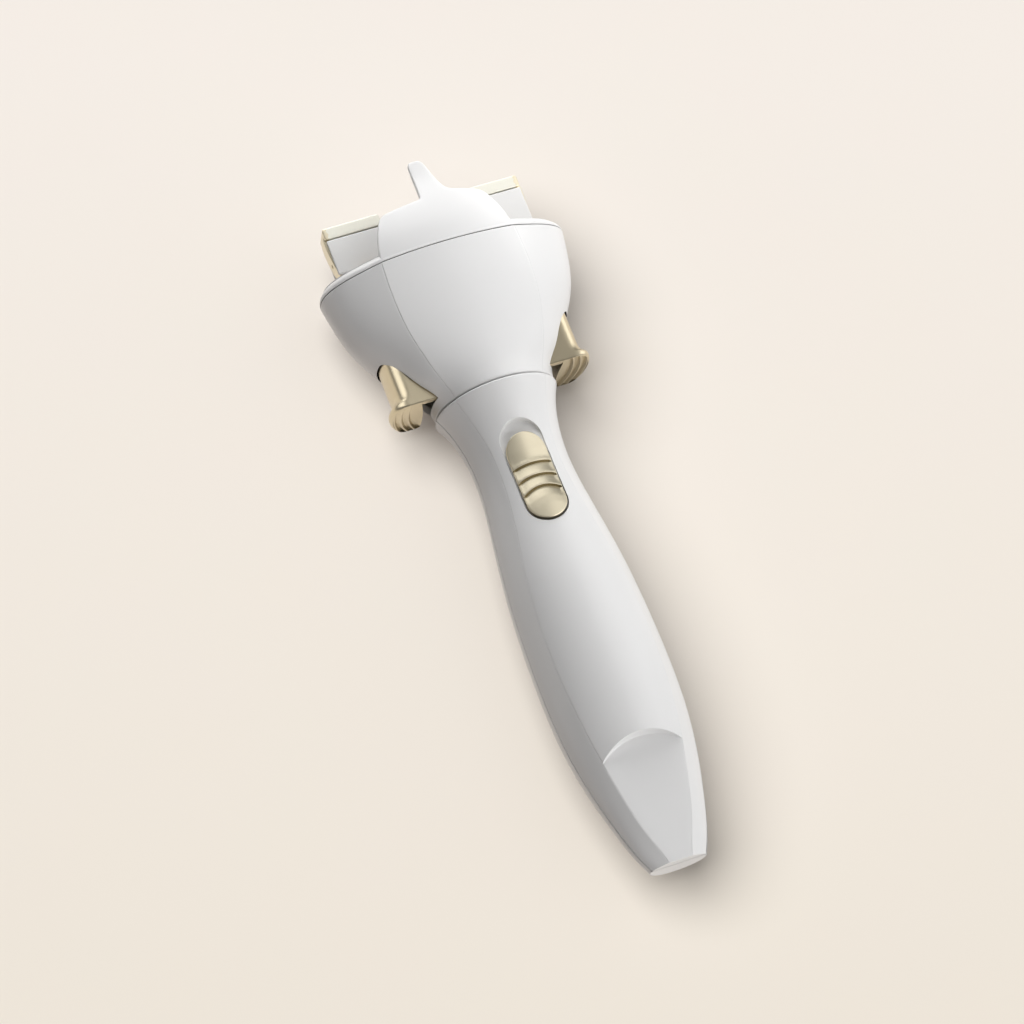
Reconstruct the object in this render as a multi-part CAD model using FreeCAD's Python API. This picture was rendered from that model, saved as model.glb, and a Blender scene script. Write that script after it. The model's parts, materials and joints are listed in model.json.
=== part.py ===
import FreeCAD, Part
import math
import os

V = FreeCAD.Vector

# ---------------------------------------------------------------------------
# Automatic hair braider. Modelled upright in the device frame: z runs along the
# tool from the end of the handle to the head, x is side to side, the front (the
# side with the slide switch) faces -y. Every shape is laid on its back when it
# is written, so that the stored part has +Z up and rests on z = 0.
# Millimetres throughout.
# ---------------------------------------------------------------------------

# overall
TOTAL_LEN = 226.5          # handle end to prong tip
BACK_Y = 19.5              # lowest line of the back, belly and head alike
PART_Y = -1.5              # parting plane of the two handle shells
SEAM_HALF = 0.12           # half of the visible gap between the shells
WALL = 2.0                 # shell wall

# handle and neck
HANDLE_TOP = 149.9
NECK_Z = 150.6             # underside of the turning head
NECK_R = 18.7
HUB_R = 10.0
HUB_FIT = 0.06             # radial clearance of the hub in its bush
SHAFT_R = 2.5
SHAFT_FIT = 0.05

# end facet
FACET_Y0 = -5.0            # facet plane at z = 0
FACET_SLOPE = -0.150       # mm of depth per mm of height
FACET_ARC_TOP = 36.7
FACET_ARC_END = 32.0
FACET_HALF = 12.3

# slide switch
SLOT_HALF = 6.5
SLOT_Z = (104.7, 138.2)
SLOT_FLOOR_Y = -12.2
KNOB_HALF = 6.15
KNOB_Z = (105.1, 133.7)
KNOB_TRAVEL = 4.2

# head
SEAM_Z = 196.25            # seam between cone and cap
SEAM_GAP = 0.1
DECK_Z = 202.0             # top of the cap
GEAR_PLATE_Z = (182.0, 184.0)
GEAR_Z = (186.0, 190.0)
CHUCK_X = 21.0             # chuck axis offset
MODULE = 0.7
SUN_TEETH = 36
PLANET_TEETH = 24
BACKLASH = 0.12

# chucks and jaws
CHUCK_TUBE_R = 4.0
ROD_R = 1.6
ROD_FIT = 0.08
BLOCK_TOP = 214.0
JAW_Z0 = 214.4
JAW_TOP = 218.1
PIN_X = 8.4                # hinge pin from the chuck axis, outwards
PIN_Z = 209.4
PIN_R = 0.75

# triggers
TRIG_OUT = 29.6            # outermost line of the bowed stem
TRIG_BOW = 16.0            # radius of the bow, in plan
TRIG_Y = (8.1, 11.0)       # depth in front of and behind the tool's axis
TRIG_ROUND = 2.0           # upright corners of the stem
TRIG_IN = 16.6             # inner end of the web
TRIG_LIP = 2.1             # how far the foot stands out beyond the stem
TRIG_Z = (154.0, 173.0)
TRIG_GAP = 0.4
TRIG_TRAVEL = 4.0

# battery door
DOOR_HALF = 12.2
DOOR_Z = (32.6, 93.3)
DOOR_GAP = 0.3
HINGE_Y = 17.1             # line that the door swings on
HINGE_Z = 32.3

# z, half width, crease half width, crease depth, front depth, back depth,
# flank start angle, squareness of the back
HANDLE = [
    (0.0, 8.6, 3.6, 5.0, 5.6, 6.2, 30, 0.56),
    (3.0, 10.0, 4.5, 5.5, 6.4, 7.7, 32, 0.56),
    (8.0, 11.9, 6.3, 6.35, 7.8, 9.7, 35, 0.56),
    (15.0, 13.9, 8.5, 7.4, 9.6, 12.2, 38, 0.56),
    (23.0, 15.9, 10.4, 8.55, 11.5, 14.7, 41, 0.56),
    (32.0, 17.7, 12.2, 9.8, 13.5, 17.0, 44, 0.57),
    (43.0, 19.1, 13.8, 10.7, 15.3, 18.8, 49, 0.58),
    (55.0, 19.65, 14.8, 11.0, 16.6, 19.46, 54, 0.58),
    (67.0, 19.6, 15.1, 10.9, 17.1, 19.41, 57, 0.58),
    (79.0, 19.15, 14.7, 10.9, 17.0, 19.0, 56, 0.58),
    (91.0, 18.3, 13.5, 11.2, 16.5, 18.2, 54, 0.57),
    (101.0, 17.15, 12.0, 11.35, 15.7, 17.1, 51, 0.56),
    (110.0, 15.95, 10.6, 11.2, 14.9, 15.9, 49, 0.56),
    (118.0, 14.9, 9.7, 10.9, 14.2, 14.95, 48, 0.56),
    (126.0, 14.35, 9.4, 10.7, 13.9, 14.4, 48, 0.56),
    (133.0, 14.6, 9.8, 10.85, 14.2, 14.65, 48, 0.56),
    (140.0, 15.8, 11.2, 11.25, 15.5, 15.85, 48.5, 0.555),
    (145.5, 17.45, 12.8, 12.0, 17.3, 17.5, 48.5, 0.5523),
    (149.9, 19.3, 14.2, 13.07, 19.3, 19.3, 48.5, 0.5523),
]
CONE = [
    (150.6, 18.7, 13.8, 12.62, 18.7, 18.7, 48.5, 0.5523),
    (154.0, 20.9, 15.2, 13.35, 18.75, 18.72, 45, 0.56),
    (159.0, 24.1, 17.0, 14.5, 18.95, 18.8, 41, 0.58),
    (165.0, 27.9, 18.8, 15.6, 19.25, 18.95, 37, 0.61),
    (171.0, 31.2, 20.2, 16.4, 19.6, 19.1, 34, 0.64),
    (178.0, 34.5, 21.1, 17.1, 19.95, 19.25, 31.5, 0.66),
    (186.0, 37.0, 21.4, 17.6, 20.3, 19.4, 29.5, 0.67),
    (196.3, 38.8, 21.0, 17.9, 20.5, 19.5, 28, 0.68),
]
CAP = [
    (196.35, 38.8, 21.0, 17.9, 20.5, 19.495, 28, 0.68),
    (198.2, 38.6, 20.9, 17.8, 20.35, 19.35, 28, 0.68),
    (199.9, 37.8, 20.5, 17.2, 19.65, 18.65, 28, 0.68),
    (201.2, 36.3, 19.7, 16.0, 18.3, 17.3, 28, 0.68),
    (202.0, 34.2, 18.6, 14.4, 16.5, 15.5, 28, 0.68),
]


def bezier(points):
    curve = Part.BezierCurve()
    curve.setPoles([V(*p) for p in points])
    return curve.toShape()


def section(row, t=0.0):
    """Closed section wire of a body at height z, pulled in by t."""
    z, w, c, yc, d0, db, ang, kb = row
    tp = 2.0 * math.atan2(d0 - yc, c)
    tf = math.radians(ang)
    if t:
        beta = 0.5 * (tp + tf)
        k = t / math.cos(0.5 * (tf - tp))
        c, yc = c - k * math.sin(beta), yc - k * math.cos(beta)
        w, d0, db = w - t, d0 - t, db - t
        tp = 2.0 * math.atan2(d0 - yc, c)
    radius = c / math.sin(tp)
    arm = 4.0 / 3.0 * math.tan(tp / 2.0) * radius
    panel = bezier([(-c, -yc, z), (-c + arm * math.cos(tp), -yc - arm * math.sin(tp), z),
                    (c - arm * math.cos(tp), -yc - arm * math.sin(tp), z), (c, -yc, z)])
    length = math.hypot(w - c, yc)
    k1 = 0.36 * length
    k2 = 0.38 * length
    p1 = (c + k1 * math.cos(tf), -yc + k1 * math.sin(tf), z)
    p2 = (w, -k2, z)
    right = bezier([(c, -yc, z), p1, p2, (w, 0, z)])
    back_r = bezier([(w, 0, z), (w, kb * db, z), (kb * w, db, z), (0, db, z)])
    back_l = bezier([(0, db, z), (-kb * w, db, z), (-w, kb * db, z), (-w, 0, z)])
    left = bezier([(-w, 0, z), (-p2[0], p2[1], z), (-p1[0], p1[1], z), (-c, -yc, z)])
    return Part.Wire([panel, right, back_r, back_l, left])


def body(rows, t=0.0):
    solid = Part.makeLoft([section(r, t) for r in rows], True, False)
    return solid if solid.Volume > 0 else solid.reversed()


def bend(zs, ys):
    """Second derivatives of the natural cubic spline through the points."""
    n = len(zs)
    m, u = [0.0] * n, [0.0] * n
    for i in range(1, n - 1):
        sig = (zs[i] - zs[i - 1]) / (zs[i + 1] - zs[i - 1])
        q = sig * m[i - 1] + 2.0
        m[i] = (sig - 1.0) / q
        d = (ys[i + 1] - ys[i]) / (zs[i + 1] - zs[i]) - (ys[i] - ys[i - 1]) / (zs[i] - zs[i - 1])
        u[i] = (6.0 * d / (zs[i + 1] - zs[i - 1]) - sig * u[i - 1]) / q
    m[-1] = 0.0
    for i in range(n - 2, -1, -1):
        m[i] = m[i] * m[i + 1] + u[i]
    return m


def at(rows, z):
    """Section row at height z, on smooth curves through the table."""
    zs = [r[0] for r in rows]
    k = max(0, min(len(zs) - 2, sum(1 for v in zs if v <= z) - 1))
    h = zs[k + 1] - zs[k]
    a, b = (zs[k + 1] - z) / h, (z - zs[k]) / h
    out = [z]
    for col in range(1, len(rows[0])):
        ys = [r[col] for r in rows]
        m = bend(zs, ys)
        out.append(a * ys[k] + b * ys[k + 1] + ((a ** 3 - a) * m[k] + (b ** 3 - b) * m[k + 1]) * h * h / 6.0)
    return tuple(out)


def span(rows, z0, z1, step):
    """Evenly spaced rows from z0 to z1."""
    n = max(2, int(math.ceil((z1 - z0) / step)))
    return [at(rows, z0 + (z1 - z0) * i / n) for i in range(n + 1)]


def cyl(r, z0, z1, x=0.0, y=0.0):
    return Part.makeCylinder(r, z1 - z0, V(x, y, z0))


def ring(r0, r1, z0, z1, x=0.0, y=0.0):
    return cyl(r1, z0, z1, x, y).cut(cyl(r0, z0 - 1, z1 + 1, x, y))


def cyl_y(r, y0, y1, x, z):
    return Part.makeCylinder(r, y1 - y0, V(x, y0, z), V(0, 1, 0))


def box(x0, x1, y0, y1, z0, z1):
    return Part.makeBox(x1 - x0, y1 - y0, z1 - z0, V(x0, y0, z0))


def poly_y(points, y0, y1):
    """Prism along y with an (x, z) outline."""
    pts = [V(x, y0, z) for x, z in points]
    face = Part.Face(Part.makePolygon(pts + [pts[0]]))
    solid = face.extrude(V(0, y1 - y0, 0))
    return solid


def poly_z(points, z0, z1):
    pts = [V(x, y, z0) for x, y in points]
    face = Part.Face(Part.makePolygon(pts + [pts[0]]))
    return face.extrude(V(0, 0, z1 - z0))


def obround_y(half, z0, z1, y0, y1):
    """Rounded slot outline in x and z, extruded along y."""
    a, b = z0 + half, z1 - half
    mid = box(-half, half, y0, y1, a, b)
    return mid.fuse([cyl_y(half, y0, y1, 0, a), cyl_y(half, y0, y1, 0, b)]).removeSplitter()


def rounded_y(x0, x1, z0, z1, r, y0, y1):
    """Rounded rectangle in x and z, extruded along y."""
    e = []
    pts = [((x0 + r, z0), (x1 - r, z0), (x1 - r * (1 - math.sqrt(0.5)), z0 + r * (1 - math.sqrt(0.5))), (x1, z0 + r)),
           ((x1, z0 + r), (x1, z1 - r), (x1 - r * (1 - math.sqrt(0.5)), z1 - r * (1 - math.sqrt(0.5))), (x1 - r, z1)),
           ((x1 - r, z1), (x0 + r, z1), (x0 + r * (1 - math.sqrt(0.5)), z1 - r * (1 - math.sqrt(0.5))), (x0, z1 - r)),
           ((x0, z1 - r), (x0, z0 + r), (x0 + r * (1 - math.sqrt(0.5)), z0 + r * (1 - math.sqrt(0.5))), (x0 + r, z0))]
    for a, b, m, c in pts:
        e.append(Part.LineSegment(V(a[0], y0, a[1]), V(b[0], y0, b[1])).toShape())
        e.append(Part.Arc(V(b[0], y0, b[1]), V(m[0], y0, m[1]), V(c[0], y0, c[1])).toShape())
    return Part.Face(Part.Wire(e)).extrude(V(0, y1 - y0, 0))


def coil(r, wire, pitch, z0, turns, x=0.0, y=0.0):
    """Helical spring with its axis along z."""
    helix = Part.makeHelix(pitch, pitch * turns, r)
    start = V(r, 0, 0)
    disc = Part.Wire(Part.Circle(start, V(0, 1, pitch / (2 * math.pi * r)), wire).toShape())
    tube = Part.Wire(helix.Edges).makePipeShell([disc], True, True)
    tube.translate(V(x, y, z0))
    return tube


def mirror_x(shape):
    return shape.mirror(V(0, 0, 0), V(1, 0, 0))


def gear(teeth, z0, z1, bore, phase=0.0, x=0.0):
    """Involute spur gear with backlash, axis along z."""
    m = MODULE
    rp = m * teeth / 2.0
    rb = rp * math.cos(math.radians(20))
    ra = rp + 0.95 * m
    rf = rp - 1.2 * m
    inv20 = math.tan(math.radians(20)) - math.radians(20)
    half = math.pi / (2 * teeth) - BACKLASH / 2.0 / rp
    pts = []
    for i in range(teeth):
        mid = 2 * math.pi * i / teeth + phase
        flank = []
        r0 = max(rb, rf)
        for k in range(6):
            r = r0 + (ra - r0) * k / 5.0
            a = math.acos(min(1.0, rb / r))
            flank.append((r, half + inv20 - (math.tan(a) - a)))
        root = flank[0][1] if rf >= rb else flank[0][1] + 0.004
        pts.append((rf, mid - root - 0.01))
        for r, h in flank:
            pts.append((r, mid - h))
        for r, h in reversed(flank):
            pts.append((r, mid + h))
        pts.append((rf, mid + root + 0.01))
    shape = poly_z([(x + r * math.cos(a), r * math.sin(a)) for r, a in pts], z0, z1)
    return shape.cut(cyl(bore, z0 - 1, z1 + 1, x, 0))


PLACE = FreeCAD.Placement(V(0, -TOTAL_LEN / 2.0, BACK_Y), FreeCAD.Rotation(V(1, 0, 0), -90))
PARTS = {}


def keep(name, shape):
    PARTS[name] = shape


# ---------------------------------------------------------------------------
# Handle shells
# ---------------------------------------------------------------------------
outer = body(span(HANDLE, 0.0, HANDLE_TOP, 6.0))
inner_rows = span(HANDLE, 2.2, 145.6, 6.5)
inner = body(inner_rows, WALL)

# flat facet near the end, under an arc-shaped step
arc_r = (FACET_HALF ** 2 + (FACET_ARC_TOP - FACET_ARC_END) ** 2) / (2 * (FACET_ARC_TOP - FACET_ARC_END))
facet_prism = Part.Face(Part.Wire([
    Part.Arc(V(-FACET_HALF - 4, -40, FACET_ARC_TOP - arc_r + math.sqrt(arc_r ** 2 - (FACET_HALF + 4) ** 2)),
             V(0, -40, FACET_ARC_TOP),
             V(FACET_HALF + 4, -40, FACET_ARC_TOP - arc_r + math.sqrt(arc_r ** 2 - (FACET_HALF + 4) ** 2))).toShape(),
    Part.makePolygon([V(FACET_HALF + 4, -40, FACET_ARC_TOP - arc_r + math.sqrt(arc_r ** 2 - (FACET_HALF + 4) ** 2)),
                      V(FACET_HALF + 4, -40, -5), V(-FACET_HALF - 4, -40, -5),
                      V(-FACET_HALF - 4, -40, FACET_ARC_TOP - arc_r + math.sqrt(arc_r ** 2 - (FACET_HALF + 4) ** 2))])
])).extrude(V(0, 60, 0))


def facet_wedge(depth):
    """Everything in front of the facet plane, moved back by depth."""
    pts = [V(-30, -60, -10), V(-30, FACET_Y0 + depth - FACET_SLOPE * 10, -10),
           V(-30, FACET_Y0 + depth + FACET_SLOPE * 60, 60), V(-30, -60, 60)]
    return Part.Face(Part.makePolygon(pts + [pts[0]])).extrude(V(60, 0, 0))


facet_cut = facet_prism.common(facet_wedge(0.0))
facet_cut_in = facet_wedge(1.8).common(box(-30, 30, -60, 20, -10, 39.5))
outer_f = outer.cut(facet_cut)
inner_f = inner.cut(facet_cut_in)
shell = outer_f.cut(inner_f)

# bulkhead that carries the neck bush
bush_seat = cyl(12.5, 140, 155)
recess = cyl(13.6, 142.6, 145.9)

front_half = box(-40, 40, -40, PART_Y - SEAM_HALF, -5, 160)
rear_half = box(-40, 40, PART_Y + SEAM_HALF, 40, -5, 160)

slot_cut = obround_y(SLOT_HALF, SLOT_Z[0], SLOT_Z[1], -30, SLOT_FLOOR_Y)
slot_back = obround_y(SLOT_HALF + 1.3, SLOT_Z[0] - 1.3, SLOT_Z[1] + 1.3, -30, SLOT_FLOOR_Y + 1.2)
slot_through = obround_y(1.8, 112.2, 126.6, -30, 0)

# screws that close the handle: (x, z)
SCREWS = [(0.0, 22.0), (-11.0, 99.0), (11.0, 99.0), (-9.8, 134.4), (9.8, 134.4)]
front = shell.common(front_half)
front = front.fuse(slot_back.common(outer_f).common(front_half))
posts_f = [cyl_y(2.4, -30, PART_Y - SEAM_HALF, x, z) for x, z in SCREWS]
front = front.fuse([p.common(outer_f) for p in posts_f])
front = front.cut(slot_cut).cut(slot_through)
front = front.cut(Part.makeCompound([cyl_y(1.12, -7.0, 0, x, z) for x, z in SCREWS]))
front = front.cut(bush_seat).cut(recess)
keep("handle_front_shell", front.removeSplitter())

rear = shell.common(rear_half)
posts_r = [cyl_y(2.4, PART_Y + SEAM_HALF, 30, x, z) for x, z in SCREWS]
rear = rear.fuse([p.common(outer_f) for p in posts_r])
head_y = {}
for x, z in SCREWS:
    row = at(HANDLE, z)
    depth = row[5] * math.sqrt(max(0.0, 1 - (x / row[1]) ** 2))
    head_y[(x, z)] = depth - 3.0
rear = rear.cut(Part.makeCompound([cyl_y(1.3, -3, 30, x, z) for x, z in SCREWS]))
rear = rear.cut(Part.makeCompound([cyl_y(2.3, head_y[s], 30, s[0], s[1]) for s in SCREWS]))
door_open = rounded_y(-DOOR_HALF - DOOR_GAP, DOOR_HALF + DOOR_GAP, DOOR_Z[0] - DOOR_GAP, DOOR_Z[1] + 0.5, 4.3, 2, 30)
rear = rear.cut(door_open).cut(bush_seat).cut(recess)
rear = rear.cut(Part.makeCylinder(1.1, 7.6, V(-3.8, HINGE_Y, HINGE_Z), V(1, 0, 0)))
keep("handle_rear_shell", rear.removeSplitter())

screws = []
for x, z in SCREWS:
    y1 = head_y[(x, z)]
    s = cyl_y(1.1, -6.0, y1 + 0.01, x, z).fuse(cyl_y(2.0, y1, y1 + 1.4, x, z))
    s = s.cut(box(x - 1.3, x + 1.3, y1 + 0.7, y1 + 3, z - 0.25, z + 0.25)).cut(
        box(x - 0.25, x + 0.25, y1 + 0.7, y1 + 3, z - 1.3, z + 1.3))
    screws.append(s)
keep("handle_screws", Part.makeCompound(screws))

# battery door: the same skin, hinged along its lower edge
door_prism = rounded_y(-DOOR_HALF, DOOR_HALF, DOOR_Z[0], DOOR_Z[1], 4.0, 2, 30)
door = outer.cut(inner).common(door_prism)
door_rows = span(HANDLE, 24.0, 46.0, 6.0)
skin_mid = body(door_rows, WALL - 0.5)
skin_tab = body(door_rows, WALL + 0.3)
skin_low = body(door_rows, WALL + 1.6)
for sx in (-1, 1):
    root = box(sx * 6.5 - 1.6, sx * 6.5 + 1.6, 5, 30, DOOR_Z[0] + 0.3, DOOR_Z[0] + 1.8).common(skin_mid).cut(skin_low)
    tab = box(sx * 6.5 - 1.6, sx * 6.5 + 1.6, 5, 30, DOOR_Z[0] - 1.3, DOOR_Z[0] + 1.8).common(skin_tab).cut(skin_low)
    door = door.fuse(root.fuse(tab))
door = door.fuse(box(-5.0, 5.0, 14.6, 17.0, DOOR_Z[1] - 3.2, DOOR_Z[1] - 0.6).common(outer))
nail = Part.makeSphere(9.0, V(0, 0, 0))
nail.translate(V(0, 18.9 + 8.1, DOOR_Z[1] - 9.0))
door = door.cut(nail.common(box(-20, 20, 0, 40, DOOR_Z[1] - 20, DOOR_Z[1] - 8.0)))
door = door.fuse(Part.makeCylinder(0.8, 7.0, V(-3.5, HINGE_Y, HINGE_Z), V(1, 0, 0)))
keep("battery_door", door.removeSplitter())

# ---------------------------------------------------------------------------
# Power and drive inside the handle
# ---------------------------------------------------------------------------
CELL_Z = (37.2, 87.4)


def cell(x):
    c = cyl(7.1, CELL_Z[0], CELL_Z[1] - 1.3, x, 3.0)
    return c.fuse(cyl(2.6, CELL_Z[1] - 1.4, CELL_Z[1], x, 3.0))


left_cell = cell(-7.25)
right_cell = cell(7.25)
right_cell.rotate(V(7.25, 3.0, (CELL_Z[0] + CELL_Z[1]) / 2), V(1, 0, 0), 180)
keep("battery_cell_left", left_cell)
keep("battery_cell_right", right_cell)
inner_clear = body(inner_rows, WALL + 0.25).cut(facet_wedge(2.1).common(box(-30, 30, -60, 20, -10, 39.5)))
tray = box(-15.2, 15.2, -5.9, -4.5, 33.4, 92.4)
tray = tray.fuse([box(-15.2, 15.2, -5.9, 9.5, 33.4, 34.8), box(-15.2, 15.2, -5.9, 9.5, 90.2, 91.6)])
tray = tray.common(inner_clear).cut(Part.makeCompound([cyl_y(3.0, -30, 30, -11.0, 99.0), cyl_y(3.0, -30, 30, 11.0, 99.0)]))
keep("battery_tray", tray.removeSplitter())
keep("contact_plate_lower", box(-12.6, 12.6, -0.6, 6.6, 34.8, 35.15))
keep("contact_plates_upper", Part.makeCompound([box(-11.6, -2.4, -0.6, 6.6, 89.85, 90.2),
                                                box(2.4, 11.6, -0.6, 6.6, 89.85, 90.2)]))
springs = []
for sx, z0 in ((-1, 35.15), (1, CELL_Z[1] + 0.02)):
    sp = []
    for k, r in enumerate((3.6, 2.9, 2.2)):
        kk = k if sx < 0 else 2 - k
        torus = Part.makeTorus(r, 0.3, V(sx * 7.25, 3.0, z0 + 0.34 + kk * 0.62 + 0.02))
        sp.append(torus)
    link = []
    for a, b in ((0, 1), (1, 2)):
        ra, rb = (3.6, 2.9, 2.2)[a], (3.6, 2.9, 2.2)[b]
        ka, kb_ = (a, b) if sx < 0 else (2 - a, 2 - b)
        p = V(sx * 7.25 + ra, 3.0, z0 + 0.36 + ka * 0.62)
        q = V(sx * 7.25 + rb, 3.0, z0 + 0.36 + kb_ * 0.62)
        d = q.sub(p)
        link.append(Part.makeCylinder(0.28, d.Length, p, d))
    springs.append(sp[0].fuse(sp[1:] + link))
keep("contact_springs", Part.makeCompound(springs))

MOTOR_FLAT = 6.3
motor = cyl(7.8, 95.6, 112.4).common(box(-10, 10, -MOTOR_FLAT, MOTOR_FLAT, 90, 120))
keep("motor_can", motor.cut(cyl(1.2, 90, 96.4)))
keep("motor_terminals", Part.makeCompound([box(-5.6, -4.8, -1.2, 1.2, 93.2, 95.6), box(4.8, 5.6, -1.2, 1.2, 93.2, 95.6)]))
keep("gearbox", cyl(7.0, 112.4, 133.0).fuse(cyl(4.0, 133.0, 134.6)).cut(cyl(SHAFT_R + SHAFT_FIT, 125.0, 136)))
clamp = cyl(9.6, 102.5, 108.5).common(box(-10, 10, -MOTOR_FLAT, 7.9, 100, 110))
clamp = clamp.fuse(box(-14.0, 14.0, PART_Y + SEAM_HALF + 0.05, 2.6, 102.5, 108.5).common(inner_clear))
clamp = clamp.cut(cyl(7.8, 100, 112).common(box(-10, 10, -20, MOTOR_FLAT, 90, 120)))
keep("motor_clamp", clamp)

keep("circuit_board", box(-5.4, 5.4, -8.2, -7.2, 104.6, 130.0))
sw = box(-3.4, 3.4, -9.95, -8.2, 112.6, 126.2).cut(box(-1.7, 1.7, -12, -9.0, 114.2, 124.8))
keep("slide_switch", sw)

neck_bush = ring(HUB_R + HUB_FIT, 12.5, 145.9, HANDLE_TOP)
keep("neck_bush", neck_bush)

# ---------------------------------------------------------------------------
# Slide switch knob and its carriage
# ---------------------------------------------------------------------------
knob_env = body(span(HANDLE, 98.0, 144.0, 6.0), -0.7)
knob = obround_y(KNOB_HALF, KNOB_Z[0], KNOB_Z[1], -30, SLOT_FLOOR_Y - 0.3).common(knob_env)
knob_skin = body(span(HANDLE, 98.0, 144.0, 6.0), 0.15)
for zc in (115.0, 119.1, 123.2):
    rr = 14.0
    band = cyl_y(rr, -30, 0, 0, zc - rr).cut(cyl_y(rr - 1.1, -31, 1, 0, zc - rr))
    band = band.common(box(-5.6, 5.6, -30, 0, zc - 6, zc + 1)).cut(knob_skin)
    knob = knob.cut(band)
post = obround_y(1.5, 112.6, 122.0, SLOT_FLOOR_Y - 0.4, -10.85)
knob = knob.fuse(post).removeSplitter()
keep("switch_knob", knob)
slider = box(-4.6, 4.6, -10.85, -10.2, 109.6, 125.0).fuse(box(-1.5, 1.5, -10.3, -9.1, 114.6, 118.0))
keep("switch_slider", slider)

# ---------------------------------------------------------------------------
# Head: cone, cap, hub and fixed inner parts
# ---------------------------------------------------------------------------
cone_out = body(span(CONE, NECK_Z, CONE[-1][0], 4.6))
cone_rows_in = span(CONE, 153.0, CONE[-1][0], 4.6)
cone_in = body(cone_rows_in, WALL)
cone_top = box(-60, 60, -60, 60, 100, SEAM_Z - SEAM_GAP)


def trigger_plan(gap, z0, z1, lip=0.0, rounding=TRIG_ROUND):
    """Bowed outer face between two flat webs, in plan, for the right-hand side."""
    shape = cyl(TRIG_BOW + gap + lip, z0, z1, TRIG_OUT - TRIG_BOW, 0)
    shape = shape.common(box(TRIG_IN - gap, 60, -TRIG_Y[0] - gap, TRIG_Y[1] + gap, z0, z1))
    edges = [e for e in shape.Edges if abs(e.Vertexes[0].Z - e.Vertexes[-1].Z) > 0.9 * (z1 - z0)
             and e.Vertexes[0].X > TRIG_OUT - TRIG_BOW + 5.0]
    return shape.makeFillet(rounding + gap, edges)


opening = trigger_plan(TRIG_GAP, TRIG_Z[0] - 0.3, TRIG_Z[1] + TRIG_TRAVEL + 1.2)
hub = cyl(HUB_R, 145.6, 153.4).fuse(cyl(8.4, 141.2, 146.0))
cone = cone_out.cut(cone_in)
POSTS = [(sx * 9.0, sy * 12.9) for sx in (-1, 1) for sy in (-1, 1)]
posts = [cyl(2.6, 158.0, GEAR_PLATE_Z[0], x, y).common(cone_out) for x, y in POSTS]
cone = cone.fuse([hub] + posts)
cone = cone.cut(cyl(4.5, 140, 160)).cut(opening).cut(mirror_x(opening)).common(cone_top)
cone = cone.cut(Part.makeCompound([cyl(1.12, 174.0, 183, x, y) for x, y in POSTS]))
cone = cone.cut(Part.makeCompound([cyl(0.82, 140.0, 144.5, 6.45 * math.cos(a), 6.45 * math.sin(a))
                                   for a in (math.radians(90), math.radians(270))]))
keep("head_cone", cone.removeSplitter())

retainer = ring(8.45, 13.0, 143.2, 145.6).fuse(ring(4.6, 9.0, 140.0, 141.2)).fuse(ring(8.45, 9.0, 141.1, 143.3))
retainer = retainer.cut(Part.makeCompound([cyl(0.95, 139, 145, 0, 6.45), cyl(0.95, 139, 145, 0, -6.45)]))
keep("hub_retainer", retainer.removeSplitter())
hs = []
for sy in (-1, 1):
    hs.append(cyl(0.8, 138.8, 144.3, 0, sy * 6.45).fuse(cyl(1.6, 138.6, 140.0, 0, sy * 6.45)))
keep("hub_screws", Part.makeCompound(hs))

plate_row = at(CONE, GEAR_PLATE_Z[0])
plate = Part.Face(section(plate_row, WALL + 0.5)).extrude(V(0, 0, GEAR_PLATE_Z[1] - GEAR_PLATE_Z[0]))
plate = plate.cut(Part.makeCompound([cyl(6.0, 180, 186, CHUCK_X, 0), cyl(6.0, 180, 186, -CHUCK_X, 0), cyl(4.6, 180, 186)]))
plate = plate.cut(Part.makeCompound([cyl(1.3, 180, 186, x, y) for x, y in POSTS]))
keep("gear_plate", plate)
keep("gear_plate_screws", Part.makeCompound([cyl(1.1, 175.0, 184.1, x, y).fuse(cyl(2.1, 184.0, 185.3, x, y)) for x, y in POSTS]))

cap_body = body(CAP)
cap_in_rows = [(196.0,) + CAP[0][1:], (197.4,) + CAP[0][1:], (199.4,) + CAP[1][1:]]
cap_in = body(cap_in_rows, WALL)
cap = cap_body.cut(cap_in)
skirt_out = body([(194.6,) + CONE[-1][1:], (197.6,) + CONE[-1][1:]], WALL + 0.6)
skirt_in = body([(194.0,) + CONE[-1][1:], (198.4,) + CONE[-1][1:]], WALL + 1.8)
cap = cap.fuse(skirt_out.cut(skirt_in))


def shield(rows, sign):
    """Curved upright plate that carries on the front or back of the head."""
    wires = []
    for z, c, yc, d0, t in rows:
        a = Part.Arc(V(-c, sign * yc, z), V(0, sign * d0, z), V(c, sign * yc, z)).toShape()
        l = Part.LineSegment(V(c, sign * yc, z), V(c, sign * (yc - t), z)).toShape()
        b = Part.Arc(V(c, sign * (yc - t), z), V(0, sign * (d0 - t), z), V(-c, sign * (yc - t), z)).toShape()
        r = Part.LineSegment(V(-c, sign * (yc - t), z), V(-c, sign * yc, z)).toShape()
        wires.append(Part.Wire([a, l, b, r]))
    s = Part.makeLoft(wires, True, False)
    return s


def outline(top, rise):
    side = [(-21.0, 196.35), (-20.3, 200.6), (-18.9, 205.2), (-17.3, 209.2), (-16.3, 211.0), (-14.8, 212.1)]
    side = [(x, 196.35 + (z - 196.35) * (top - 196.35) / 17.6) for x, z in side]
    crown = [(-10.0, top - 0.75 * rise), (-5.0, top - 0.2 * rise), (0.0, top), (5.0, top - 0.2 * rise), (10.0, top - 0.75 * rise)]
    return side + crown + [(-x, z) for x, z in reversed(side)]


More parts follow.
